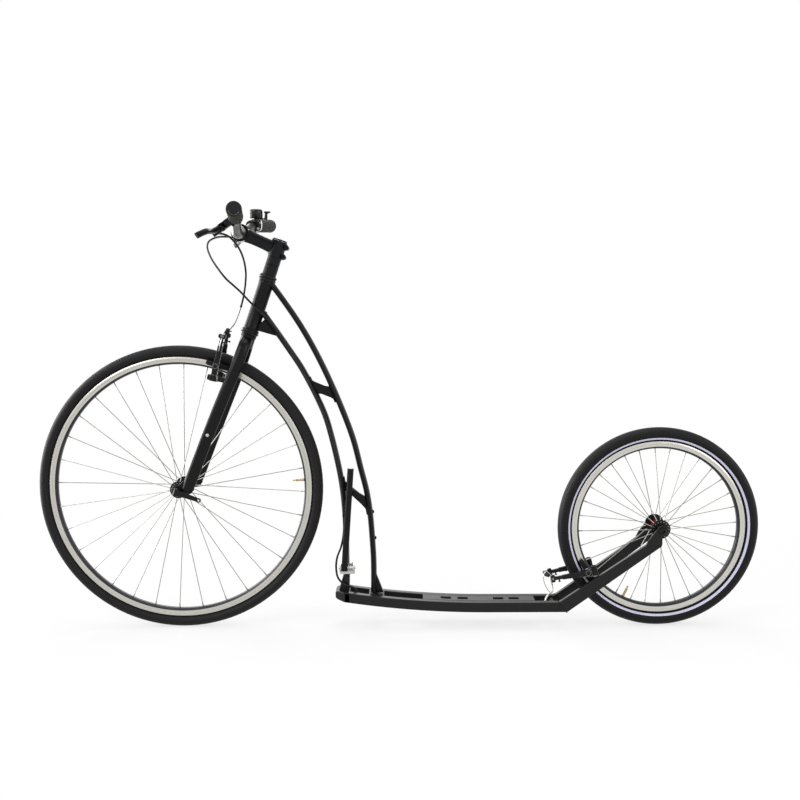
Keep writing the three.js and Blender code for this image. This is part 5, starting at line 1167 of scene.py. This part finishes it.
def levers():
    """On each side the clamp, its screws and barrel, and the blade with its ridges."""
    for side_name, side in SIDES:
        at = lever_matrix(side)
        lean = (BAR_END - STRAIGHT_START).normalized()
        lean = vec(lean.dot(LEVER_LINE), lean.y, lean.dot(LEVER_PIN))
        body = Form(at).collar(11.6, 16, -9, 9, 0.6, axis=lean, sides=48)
        body.slab([(12, -8), (30, -8.6), (34, -9.8), (60, -9.8), (64.5, -8), (65, -3), (62.5, -2),
                   (53, -2), (33, -7.4), (30, 5), (26, 8), (12, 8)], -8.6, 8.6)
        for z in (-8, 4.8):
            body.slab([(28, -4), (30, 6), (36, 9), (42, 8), (45, 3), (44, -4)], z, z + 3.2)
        body.done("lever_body_" + side_name, "steering", black_alloy, bevel=1.0)
        fit = Form(at).cap_screw((LEVER_PIVOT, 0, 8), (LEVER_PIVOT, 0, 10), 3.6)
        fit.rod((LEVER_PIVOT, 0, -8), (LEVER_PIVOT, 0, 8), 2.4)
        fit.cap_screw((14.6, 0, 8), (14.6, 0, 13.4), 3.4)
        fit.rod((LEVER_BARREL, -10, 0), (LEVER_BARREL, -24, 0), 7, 6, sides=28, edge=0.8)
        for i in range(14):
            angle = 2 * pi * i / 14
            out = vec(cos(angle), 0, sin(angle)) * 6.3
            fit.rod(vec(LEVER_BARREL, -13, 0) + out, vec(LEVER_BARREL, -22, 0) + out * 0.95, 0.9, sides=6)
        fit.rod((LEVER_BARREL, -24, 0), (LEVER_BARREL, -36.6, 0), 4.6, 4, sides=20, edge=0.5)
        fit.done("lever_fittings_" + side_name, "steering", black_alloy, "lever_body_" + side_name)
        path = smooth_path([(LEVER_PIVOT + BLADE_RISE * out, BLADE_LENGTH * across, 0)
                            for across, out in BLADE_SHARES], BLADE_STEPS)
        scales = []
        for i in range(BLADE_STEPS + 1):
            share = i / BLADE_STEPS
            high = 4.2 + 2.4 * min(share * 5, 1)
            scales.append((high, 4 if share < 0.93 else 4 * (1 - (share - 0.93) * 4)))
        blade = Form(at).sweep(path, rounded(1, 1, 0.5, 4), side=Z, scales=scales)
        blade.rod((LEVER_PIVOT, 0, -4.4), (LEVER_PIVOT, 0, 4.4), 6.4, sides=28, edge=0.5)
        blade.done("brake_lever_" + side_name, side_name + "_lever", black_alloy, place=STEERING,
                   crease=50)
        inlay = Form(at)
        for share in (0.72, 0.79, 0.86):
            index = int(share * BLADE_STEPS)
            point = path[index]
            ahead = (path[index + 1] - point).normalized()
            out = ahead.cross(Z)
            if out.x < 0:
                out = -out
            centre = point + out * 3.3
            inlay.sweep([centre - Z * 4.6, centre + Z * 4.6], rounded(1.3, 0.3, 0.25, 2), side=ahead)
        inlay.done("lever_ridges_" + side_name, side_name + "_lever", bright_steel,
                   "brake_lever_" + side_name, STEERING)


handlebar()
grips()
levers()

# Bell
BELL = Matrix.Translation((-0.351038, 0.129629, 0.97371)) @ MM
BELL_SETBACK = 9


def bell():
    """The dome, the base on its clamp, its screws and the thumb lever."""
    dome = Form().lathe([(15.2, 20), (16.6, 20), (17, 20.5), (17, 37), (16.6, 39), (15.4, 40.6),
                         (13, 41.6), (8, 42), (0.5, 42), (0.5, 40), (12, 40), (14.6, 38.6), (15.2, 36)],
                        sides=64, closed=True)
    dome.done("bell_dome", "steering", bell_black, place=BELL, crease=60)
    base = Form().rod((0, 0, 12), (0, 0, 40), 3, sides=20)
    to_bell = BELL.inverted() @ STEERING
    direction = (to_bell.to_3x3() @ (bar_point(*BAR_SHARES[5]) - bar_point(*BAR_SHARES[4]))).normalized()
    base.collar(12.2, 16.6, -7.5, 7.5, 0.6, (-BELL_SETBACK, 0, 0), direction, 48)
    base.lathe([(0.5, 9), (11.6, 9), (12.4, 10), (12.8, 14.6), (12, 16.2), (0.5, 16.4)], sides=40)
    base.prism([(3, -13), (11, -10), (14, -3), (14, 9), (12, 15), (-4, 15), (-2, 4)], -6.5, 6.5)
    base.done("bell_base", "steering", bell_black, place=BELL, slot="black_plastic", bevel=0.6)
    screw = Form().cap_screw((6, -7, -6), (6, -9.6, -6), 3.2)
    screw.cap_screw((11.5, -6, 8), (11.5, -8.4, 8), 2.4)
    screw.done("bell_screw", "steering", bright_steel, "bell_base", BELL)
    low, high = 20 - 2.6 - 0.3, 19.7
    thumb = Form().collar(3.4, 6, low, high, sides=32)
    thumb.slab([(5, -3), (24, -2.8), (26.5, 0), (24, 2.8), (5, 3)], low, high)
    thumb.rod((24.5, 0, low - 1), (25.5, 0, 32), 4.2, 3.2, sides=24, edge=0.6)
    thumb.lathe([(2, 30.6), (7.2, 32.6), (8.4, 33.6), (8.4, 35.2), (7.8, 36), (0.5, 36.3)], (28, 0, 0), Z,
                32)
    thumb.done("bell_button", "bell_thumb_lever", black_plastic, place=BELL, crease=40)


bell()

# Rim brakes
BRAKES = {
    "front": (STEERING, FRONT_PIVOT, FRONT_ARM, FRONT_PIN, 29, vec(-FORK_RAKE, 0, 0)),
    "rear": (BIKE, REAR_PIVOT, REAR_ARM, REAR_PIN, 16, vec(WHEELBASE, 0, REAR_WHEEL_RADIUS)),
}
ARM = 100.0
ANCHOR_Y = -8
SPRING_STOP = ARM - 14


def brake_matrix(centre, arm, pin, side):
    rows = Matrix((arm, Y * side, pin)).transposed().to_4x4()
    return Matrix.Translation(on_side(centre, side)) @ rows


def brake_arm(name, place, at, side, body, pad_reach, side_name):
    """An arm, its fittings, and its spring with the other bright pieces."""
    node = name + "_brake_arm_" + side_name
    upper = [(30, -5.6), (60, -8), (ARM - 5, -11.6), (ARM, -12.2), (ARM + 4, -11), (ARM + 5, -8),
             (ARM + 4, -4.6), (ARM - 4, -3.8), (70, 0.5), (50, 3.6), (32, 6.2)]
    lower = [(-2, -5.5), (12, -6), (44, -6.2), (47, -4), (47, 3.6), (34, 6.4), (20, 6.8), (-2, 5.5)]
    arm = Form(at).slab(upper, -4.4, 4.0)
    arm.slab([(30, -5.4), (60, -7.6), (78, -8.6), (78, -1.4), (70, 0.3), (50, 3.4), (32, 6)], -6, 5.2)
    arm.slab(lower, -6.2, 6.2)
    arm.done(node, body, black_alloy, place=place, bevel=1.6, segments=3)
    fit = Form(at).collar(4.4, 8, -9, 8, 0.6, sides=36)
    fit.hexagon((pad_reach, 5, 0), (pad_reach, 10.6, 0), 5)
    fit.rod((pad_reach, 3, 0), (pad_reach, 7.2, 0), 7.4, sides=28, edge=0.4)
    for z in (-1, 1):
        fit.rod((ARM, ANCHOR_Y, z * 3.4), (ARM, ANCHOR_Y, z * 8.6), 5.6, 5, sides=28, edge=0.6)
    fit.rod((SPRING_STOP, -7, -3), (SPRING_STOP, -7, -9), 1.7, sides=12, edge=0.3)
    fit.rod((SPRING_STOP, -7, -8), (SPRING_STOP, -7, -10.6), 2.8, sides=16, edge=0.5)
    fit.rod((8, 5, -3), (8, 9, -3), 2, sides=12)
    if side > 0:
        fit.slab([(ARM - 2, -12.6), (ARM + 14, -13.8), (ARM + 17, -12), (ARM + 17, -4), (ARM + 14, -2),
                  (ARM - 2, -3.4)], -4.5, 4.5)
    fit.done(name + "_brake_fittings_" + side_name, body, black_alloy, node, place, crease=34)
    shiny = Form(at).rod((ARM, ANCHOR_Y, -3.6), (ARM, ANCHOR_Y, 3.6), 4.4, sides=24)
    shiny.cap_screw((ARM, ANCHOR_Y, 8.2), (ARM, ANCHOR_Y, 9.8), 2.4)
    shiny.collar(5.2, 6.2, 0, 1, base=(pad_reach, 7.3, 0), axis=Y, sides=28)
    shiny.collar(6.3, 7.3, -12, -10.4, sides=28)
    if side > 0:
        shiny.rod((ARM + 11, ANCHOR_Y, -4), (ARM + 11, ANCHOR_Y, -9.6), 1.5, sides=12, edge=0.3)
    shiny.rod((6, 4, -10.6), (8, 6, 4), 1.3, sides=10)
    spring = smooth_path([(2, -7.5, -9.4), (-5, -2, -9.8), (-3, 6.4, -9.8), (5, 7.8, -9.4),
                          (16, 6.4, -8.6), (36, 1.5, -7), (58, -5.4, -6.2), (64, -7, -5),
                          (66, -7, -3)], 40)
    shiny.tube(spring, 0.65, 10)
    shiny.rod((60, -6.4, -7.4), (60, -1, -7.4), 1.0, sides=10)
    shiny.done(name + "_brake_spring_" + side_name, body, spring_steel, node, place)


def brake_pad(name, place, at, side_name, body, spread, reach, tilt):
    """A ribbed rubber pad that faces the rim, and the post that holds it."""
    face = -(spread - RIM_HALF - 1.9)
    pad = Form(at @ Matrix.Translation((reach, 0, 0)) @ Matrix.Rotation(tilt, 4, "Y"))
    half = [(6 * b, 28 * a) for a, b in ((-1, 0.55), (-0.96, 0.86), (-0.8, 1), (0.8, 1), (0.96, 0.86),
                                         (1, 0.55))]
    outline = half + [(-a, b) for a, b in reversed(half)]

    def plane_points(y, grow):
        return [vec(a * grow, y, b * (1 - (1 - grow) * 0.3)) for a, b in outline]

    pad.skin([plane_points(face, 0.9), plane_points(face + 0.8, 1), plane_points(face + 6.4, 1),
              plane_points(face + 8, 0.9), plane_points(face + 9, 0.5)])
    for z in (-17, -6, 6, 17):
        pad.block((-6.2, face + 0.2, z - 0.6), (6.2, face + 2.2, z + 0.6))
    pad.done(name + "_brake_pad_" + side_name, body, pad_rubber, place=place, crease=40)
    inside = -5.8
    post = Form(at).rod((reach, face + 5, 0), (reach, inside, 0), 3.2, sides=20)
    post.lathe([(3, 0), (6.6, 0), (6.6, 1.4), (5.6, 2.4), (3, 2.4)], (reach, inside, 0), -Y, 28,
               closed=True)
    post.lathe([(3, 0), (5.6, 0), (6.6, 1.2), (6.2, 2.6), (3, 3)], (reach, inside - 2.6, 0), -Y, 28,
               closed=True)
    post.done(name + "_pad_post_" + side_name, body, bright_steel, name + "_brake_pad_" + side_name,
              place)


def brakes():
    for name, (place, centre, arm, pin, reach, axle) in BRAKES.items():
        radial = vec(centre.x, 0, centre.z) + arm * reach - axle
        tangent = vec(-radial.z, 0, radial.x).normalized()
        tilt = atan(tangent.dot(arm) / tangent.dot(pin))
        for side_name, side in SIDES:
            at = brake_matrix(centre, arm, pin, side)
            body = name + "_" + side_name + "_brake"
            brake_arm(name, place, at, side, body, reach, side_name)
            brake_pad(name, place, at, side_name, body, centre.y, reach, tilt)


brakes()

# Cables
HOUSING_RADIUS = 2.5
FERRULE_RADIUS = 3.1
GUIDE_STEPS = (30, 62, 92)
LEVER_EXIT = bar_at(LEVER_PLACE) + LEVER_LINE * LEVER_BARREL - Y * 37.3
FRONT_CABLE = [(-124.8, -108, 606.8), (-116, -94, 609.5), (-103.5, -78, 608), (-82.6, -40, 592),
               (-67.8, 0, 567.8), (-56, 31, 534.5), (-48.7, 54, 485), (-47.6, 63, 455), (-47.9, 65, 440),
               (-48.4, 63.5, 424)]
REAR_LOOP = [(-126, 108, 606.8), (-131.5, 101, 607), (-141, 90, 604), (-154.8, 62, 596.3),
             (-163.9, 32, 582.5), (-160, 8, 568), (-142, -15, 549.5), (-116, -36, 531.5),
             (-86, -46.3, 513.5), (-64.5, -36.3, 503.2)]
REAR_NECK = [(-45, -27, 493.5), (-24.5, -23.8, 482), (-4, -23.4, 471.7), (16.4, -22.8, 461.4),
             (45.2, -20.4, 446.9)]
REAR_FRAME = [(267.3, -18.6, 677), (299.8, -18.3, 625), (347, -18.3, 524), (364.5, -18.3, 473),
              (383.5, -18.3, 386), (391.5, -18.3, 313), (392.5, -18.5, 237), (386, -20.5, 200),
              (376, -22.5, 173), (373.5, -23.5, 148), (378, -25, 124), (394, -25, 106.5), (416, -14, 96),
              (432, -9, 74), (450, -8, 58), (520, -8, 51), (640, -8, 46), (760, -8, 46),
              (820, -5.5, 46.3), (850, 0.3, 47.6), (876, 6.5, 50)]
FRONT_NOODLE = [(-47.5, 62.6, 456.4), (-47.9, 64.6, 440), (-48.6, 63.3, 422.9), (-49.8, 61.5, 411.5),
                (-52, 56, 402.5)]
REAR_NOODLE = [(877.2, 6.8, 50.2), (883, 10.5, 55), (889, 16, 65.5), (895, 21, 68.5), (900, 29, 70),
               (904, 38, 71.5), (905, 46, 78), (904, 50, 90), (900, 50, 108)]


def noodle_seat(centre, arm, out):
    """Where the noodle enters the right arm's holder, or a point beside it."""
    return centre + arm * (ARM + 12.5) + Y * (-2 + out)


def in_metres(place, point):
    return tuple(place @ Vector(point))


def cables():
    """The housings and their metal end pieces."""
    front = smooth_path([on_side(LEVER_EXIT, -1), *FRONT_CABLE[:-2]], 140)
    cable = Form().tube(front, HOUSING_RADIUS)
    cable.rod(front[-1], front[-3], FERRULE_RADIUS, sides=16)
    cable.done("front_brake_cable", "steering", cable_plastic, "front_cable_housing",
               to_body="front_right_brake",
               span=(in_metres(STEERING, FRONT_CABLE[5]), in_metres(STEERING, FRONT_CABLE[-3])))
    loop = [from_steering(*p) for p in (LEVER_EXIT, *REAR_LOOP, *REAR_NECK)]
    rear = Form().tube(smooth_path([*loop, REAR_FRAME[0]], 200), HOUSING_RADIUS)
    rear.done("rear_brake_cable_upper", "steering", cable_plastic, "rear_cable_loop", BIKE,
              to_body="frame",
              span=(in_metres(STEERING, REAR_LOOP[6]), in_metres(STEERING, REAR_NECK[2])))
    line = smooth_path(REAR_FRAME, 240)
    lower = Form().tube(line, HOUSING_RADIUS)
    lower.rod(line[-1], line[-4], FERRULE_RADIUS, sides=16)
    lower.done("rear_brake_cable_lower", "frame", cable_plastic, "rear_cable_housing",
               to_body="rear_right_brake",
               span=(in_metres(BIKE, REAR_FRAME[-3]), in_metres(BIKE, REAR_FRAME[-1])))
    guides = Form()
    for index in GUIDE_STEPS:
        point = line[index]
        along = (line[index + 1] - point).normalized()
        guides.collar(HOUSING_RADIUS, 3.7, -4, 4, base=point, axis=along, sides=20)
        guides.block((point.x - 1.5, point.y, point.z - 3), (point.x + 1.5, point.y + 5, point.z + 3))
    guides.done("cable_guides", "frame", black_alloy, "rear_cable_housing", bevel=0.4)
    for name, points, radius, steel in (("front", FRONT_NOODLE, 1.7, spring_steel),
                                        ("rear", REAR_NOODLE, 2.5, bright_steel)):
        body = name + "_right_brake"
        place, centre, arm = BRAKES[name][:3]
        seats = [noodle_seat(centre, arm, out) for out in (6, 0.3)]
        path = smooth_path([*points, *seats], 60)
        noodle = Form().tube(path, radius, 14)
        noodle.rod(path[0], path[1], 3, sides=16)
        noodle.done(name + "_brake_noodle", body, steel, place=place)
        boot_and_wire(name, place, centre, arm, body)


TAILS = {
    "front": ((0, 0, 0), (-8, 6, 0), (-26, 9, 0), (-44, 7, 0)),
    "rear": ((0, 0, 0), (8, 5, 14), (19, 9, 24), (25, 10, 14), (21, 10, -8), (11, 9, -26), (4, 8, -34)),
}


def boot_and_wire(name, place, centre, arm, body):
    """The rubber boot and the bare wire between the two arms, over the tyre."""
    start = noodle_seat(centre, arm, -12.4)
    far = on_side(centre, -1) + arm * ARM + Y * 8
    end = start.lerp(far, 0.46)
    path = [start.lerp(end, i / 24) for i in range(25)]
    scales = [((4.4 - 1.2 * i / 24) * (1.12 if i % 2 else 0.94),) * 2 for i in range(25)]
    boot = Form().sweep(path, oval(1, 1, 20), scales=scales)
    boot.done(name + "_cable_boot", body, pad_rubber, name + "_brake_noodle", place, crease=70)
    within = start.lerp(far, 0.42)
    wire = Form().tube([within.lerp(far, i / 6) for i in range(7)], 0.8, 8)
    tail = smooth_path([far + arm * a - Y * b + Z * c for a, b, c in TAILS[name]], 24)
    other = name + "_left_brake"
    wire.done(name + "_brake_wire", other, bright_steel, name + "_brake_arm_left", place)
    loose = Form().tube(tail, 1.1, 8)
    loose.rod(tail[-3], tail[-1], 1.6, sides=10)
    loose.done(name + "_wire_tail", other, bright_steel, name + "_brake_arm_left", place)


cables()

# Kickstand
STAND = vec(394, -27, 149)
STAND_LENGTH = 243
STAND_LEAN = radians(4)
COIL_RADIUS = 6.4
COIL_TURNS = 4
COIL_STEPS = 24


def kickstand():
    """The leg, its bracket with the pin, and the spring coiled about the pin."""
    foot = STAND + vec(sin(STAND_LEAN), 0, cos(STAND_LEAN)) * STAND_LENGTH
    leg = Form().rod(STAND.lerp(foot, 0.02), foot, 7.6, sides=40, edge=0.5)
    leg.rod(STAND - X * 7.5, STAND + X * 7.5, 9, sides=36, edge=0.8)
    leg.done("kickstand_leg", "kickstand", paint)
    x, y, z = STAND
    front, rear = x - 11.8, x + 24.3
    bracket = Form().block((front, -17.4, 131), (rear, -15.3, 158))
    for low, high in ((front, front + 4), (rear - 4, rear)):
        outline = [*arc(y, z, 9, 90, 270, 14), (-15.3, 140), (-15.3, 158)]
        bracket.prism(outline, low, high, plane="yz")
    bracket.done("kickstand_bracket", "frame", bright_steel, bevel=0.6)
    pin = Form().rod((front - 2, y, z), (rear + 2, y, z), 4, sides=24, edge=0.6)
    pin.done("kickstand_pin", "frame", bright_steel, "kickstand_bracket")
    low = x + 8.75
    points = [vec(low, y + COIL_RADIUS, z - 12.8)]
    for i in range(COIL_TURNS * COIL_STEPS + 1):
        angle = 2 * pi * i / COIL_STEPS
        points.append(vec(low + 2.5 * i / COIL_STEPS, y + COIL_RADIUS * cos(angle),
                          z + COIL_RADIUS * sin(angle)))
    points.append(vec(low + 10, y + COIL_RADIUS, z + 12.8))
    Form().sweep(points, oval(0.9, 0.9, 10)).done("kickstand_spring", "frame", bright_steel)


kickstand()

# Studio: floor, world and lamps
PLAIN_LIGHT = 0.5
FLOOR_HALF = 30000
FLOOR_DEPTH = 40
FLOOR_GAP = 0.2
FLOOR_WHITE = (0.9, 0.9, 0.9, 1)
FLOOR_ROUGHNESS = 0.9
SHADOW_FIELD = (0.45, 0.6, 0.6)
SHADOW_REACH = 0.6
SHADOW_GLOW = 0.72
LAMPS = (("key", (-2.6, -2.6, 2.8), 2.2, 62), ("fill", (2.8, -2.2, 1.8), 2.4, 34),
         ("top", (0.0, 0.3, 3.4), 2.6, 46), ("back", (-0.8, 2.8, 1.8), 2.4, 34))
LAMPS_AIM = Vector((0, 0, 0.35))
PANELS = (("left_strip", (-2.3, 0.7, 0.9), 3.4, 150), ("right_strip", (2.6, 0.2, 0.9), 0.16, 6))
PANEL_HEIGHT = 2.2


def mix_by_ray(tree, first, second):
    """The second shader where the camera, a mirror or glass looks, and the first for all other light."""
    rays = make_node(tree, "LightPath", {}).outputs
    seen = maths(tree, "MAXIMUM", rays["Is Camera Ray"], rays["Is Glossy Ray"])
    seen = maths(tree, "MAXIMUM", seen, rays["Is Transmission Ray"])
    return make_node(tree, "MixShader", {0: seen, 1: first, 2: second}).outputs[0]


def make_world():
    world = bpy.data.worlds.new("studio")
    bpy.context.scene.world = world
    world.use_nodes = True
    tree = world.node_tree
    plain = feed(tree, tree.nodes["Background"], {"Color": WHITE, "Strength": PLAIN_LIGHT})
    seen = make_node(tree, "Background", {"Color": WHITE, "Strength": 1.0})
    mixed = mix_by_ray(tree, plain.outputs[0], seen.outputs[0])
    feed(tree, tree.nodes["World Output"], {"Surface": mixed})


def make_floor():
    """A white floor that glows away from the object, so that only the object's shadow shows on it."""
    form = Form().slab([(-FLOOR_HALF, -FLOOR_HALF), (FLOOR_HALF, -FLOOR_HALF), (FLOOR_HALF, FLOOR_HALF),
                        (-FLOOR_HALF, FLOOR_HALF)], -FLOOR_DEPTH, -FLOOR_GAP)
    mesh = bpy.data.meshes.new("floor")
    form.bm.transform(MM)
    bmesh.ops.recalc_face_normals(form.bm, faces=form.bm.faces)
    form.bm.to_mesh(mesh)
    form.bm.free()
    floor = bpy.data.objects.new("floor", mesh)
    bpy.context.scene.collection.objects.link(floor)
    material = bpy.data.materials.new("floor")
    material.use_nodes = True
    tree = material.node_tree
    matt = feed(tree, tree.nodes["Principled BSDF"], {
        "Base Color": FLOOR_WHITE, "Roughness": FLOOR_ROUGHNESS, "Specular IOR Level": 0.0,
    }).outputs[0]
    glow = make_node(tree, "Emission", {"Strength": 1.0}).outputs[0]
    place = make_node(tree, "TexCoord", {}).outputs["Object"]
    field = make_node(tree, "Mapping", {"Vector": place, "Scale": SHADOW_FIELD}).outputs["Vector"]
    ball = make_node(tree, "TexGradient", {"Vector": field}, gradient_type="SPHERICAL").outputs["Fac"]
    share = make_node(tree, "MapRange", {"Value": ball, "From Max": SHADOW_REACH, "To Min": 1.0,
                                         "To Max": SHADOW_GLOW}, interpolation_type="SMOOTHSTEP")
    lit = make_node(tree, "MixShader", {0: share.outputs["Result"], 1: matt, 2: glow}).outputs[0]
    feed(tree, tree.nodes["Material Output"], {"Surface": mix_by_ray(tree, matt, lit)})
    mesh.materials.append(material)


def make_lamp(name, place, aim, size, height, power):
    light = bpy.data.lights.new(name, "AREA")
    light.size = size
    if height:
        light.shape = "RECTANGLE"
        light.size_y = height
    light.energy = power
    lamp = bpy.data.objects.new(name, light)
    lamp.location = place
    lamp.rotation_euler = (aim - Vector(place)).to_track_quat("-Z", "Y").to_euler()
    bpy.context.scene.collection.objects.link(lamp)
    return lamp


make_world()
make_floor()
for name, place, size, power in LAMPS:
    make_lamp(name, place, LAMPS_AIM, size, 0, power)
for name, place, size, power in PANELS:
    make_lamp(name, place, Z * place[2], size, PANEL_HEIGHT, power).visible_diffuse = False
bpy.context.scene.view_settings.view_transform = "Standard"
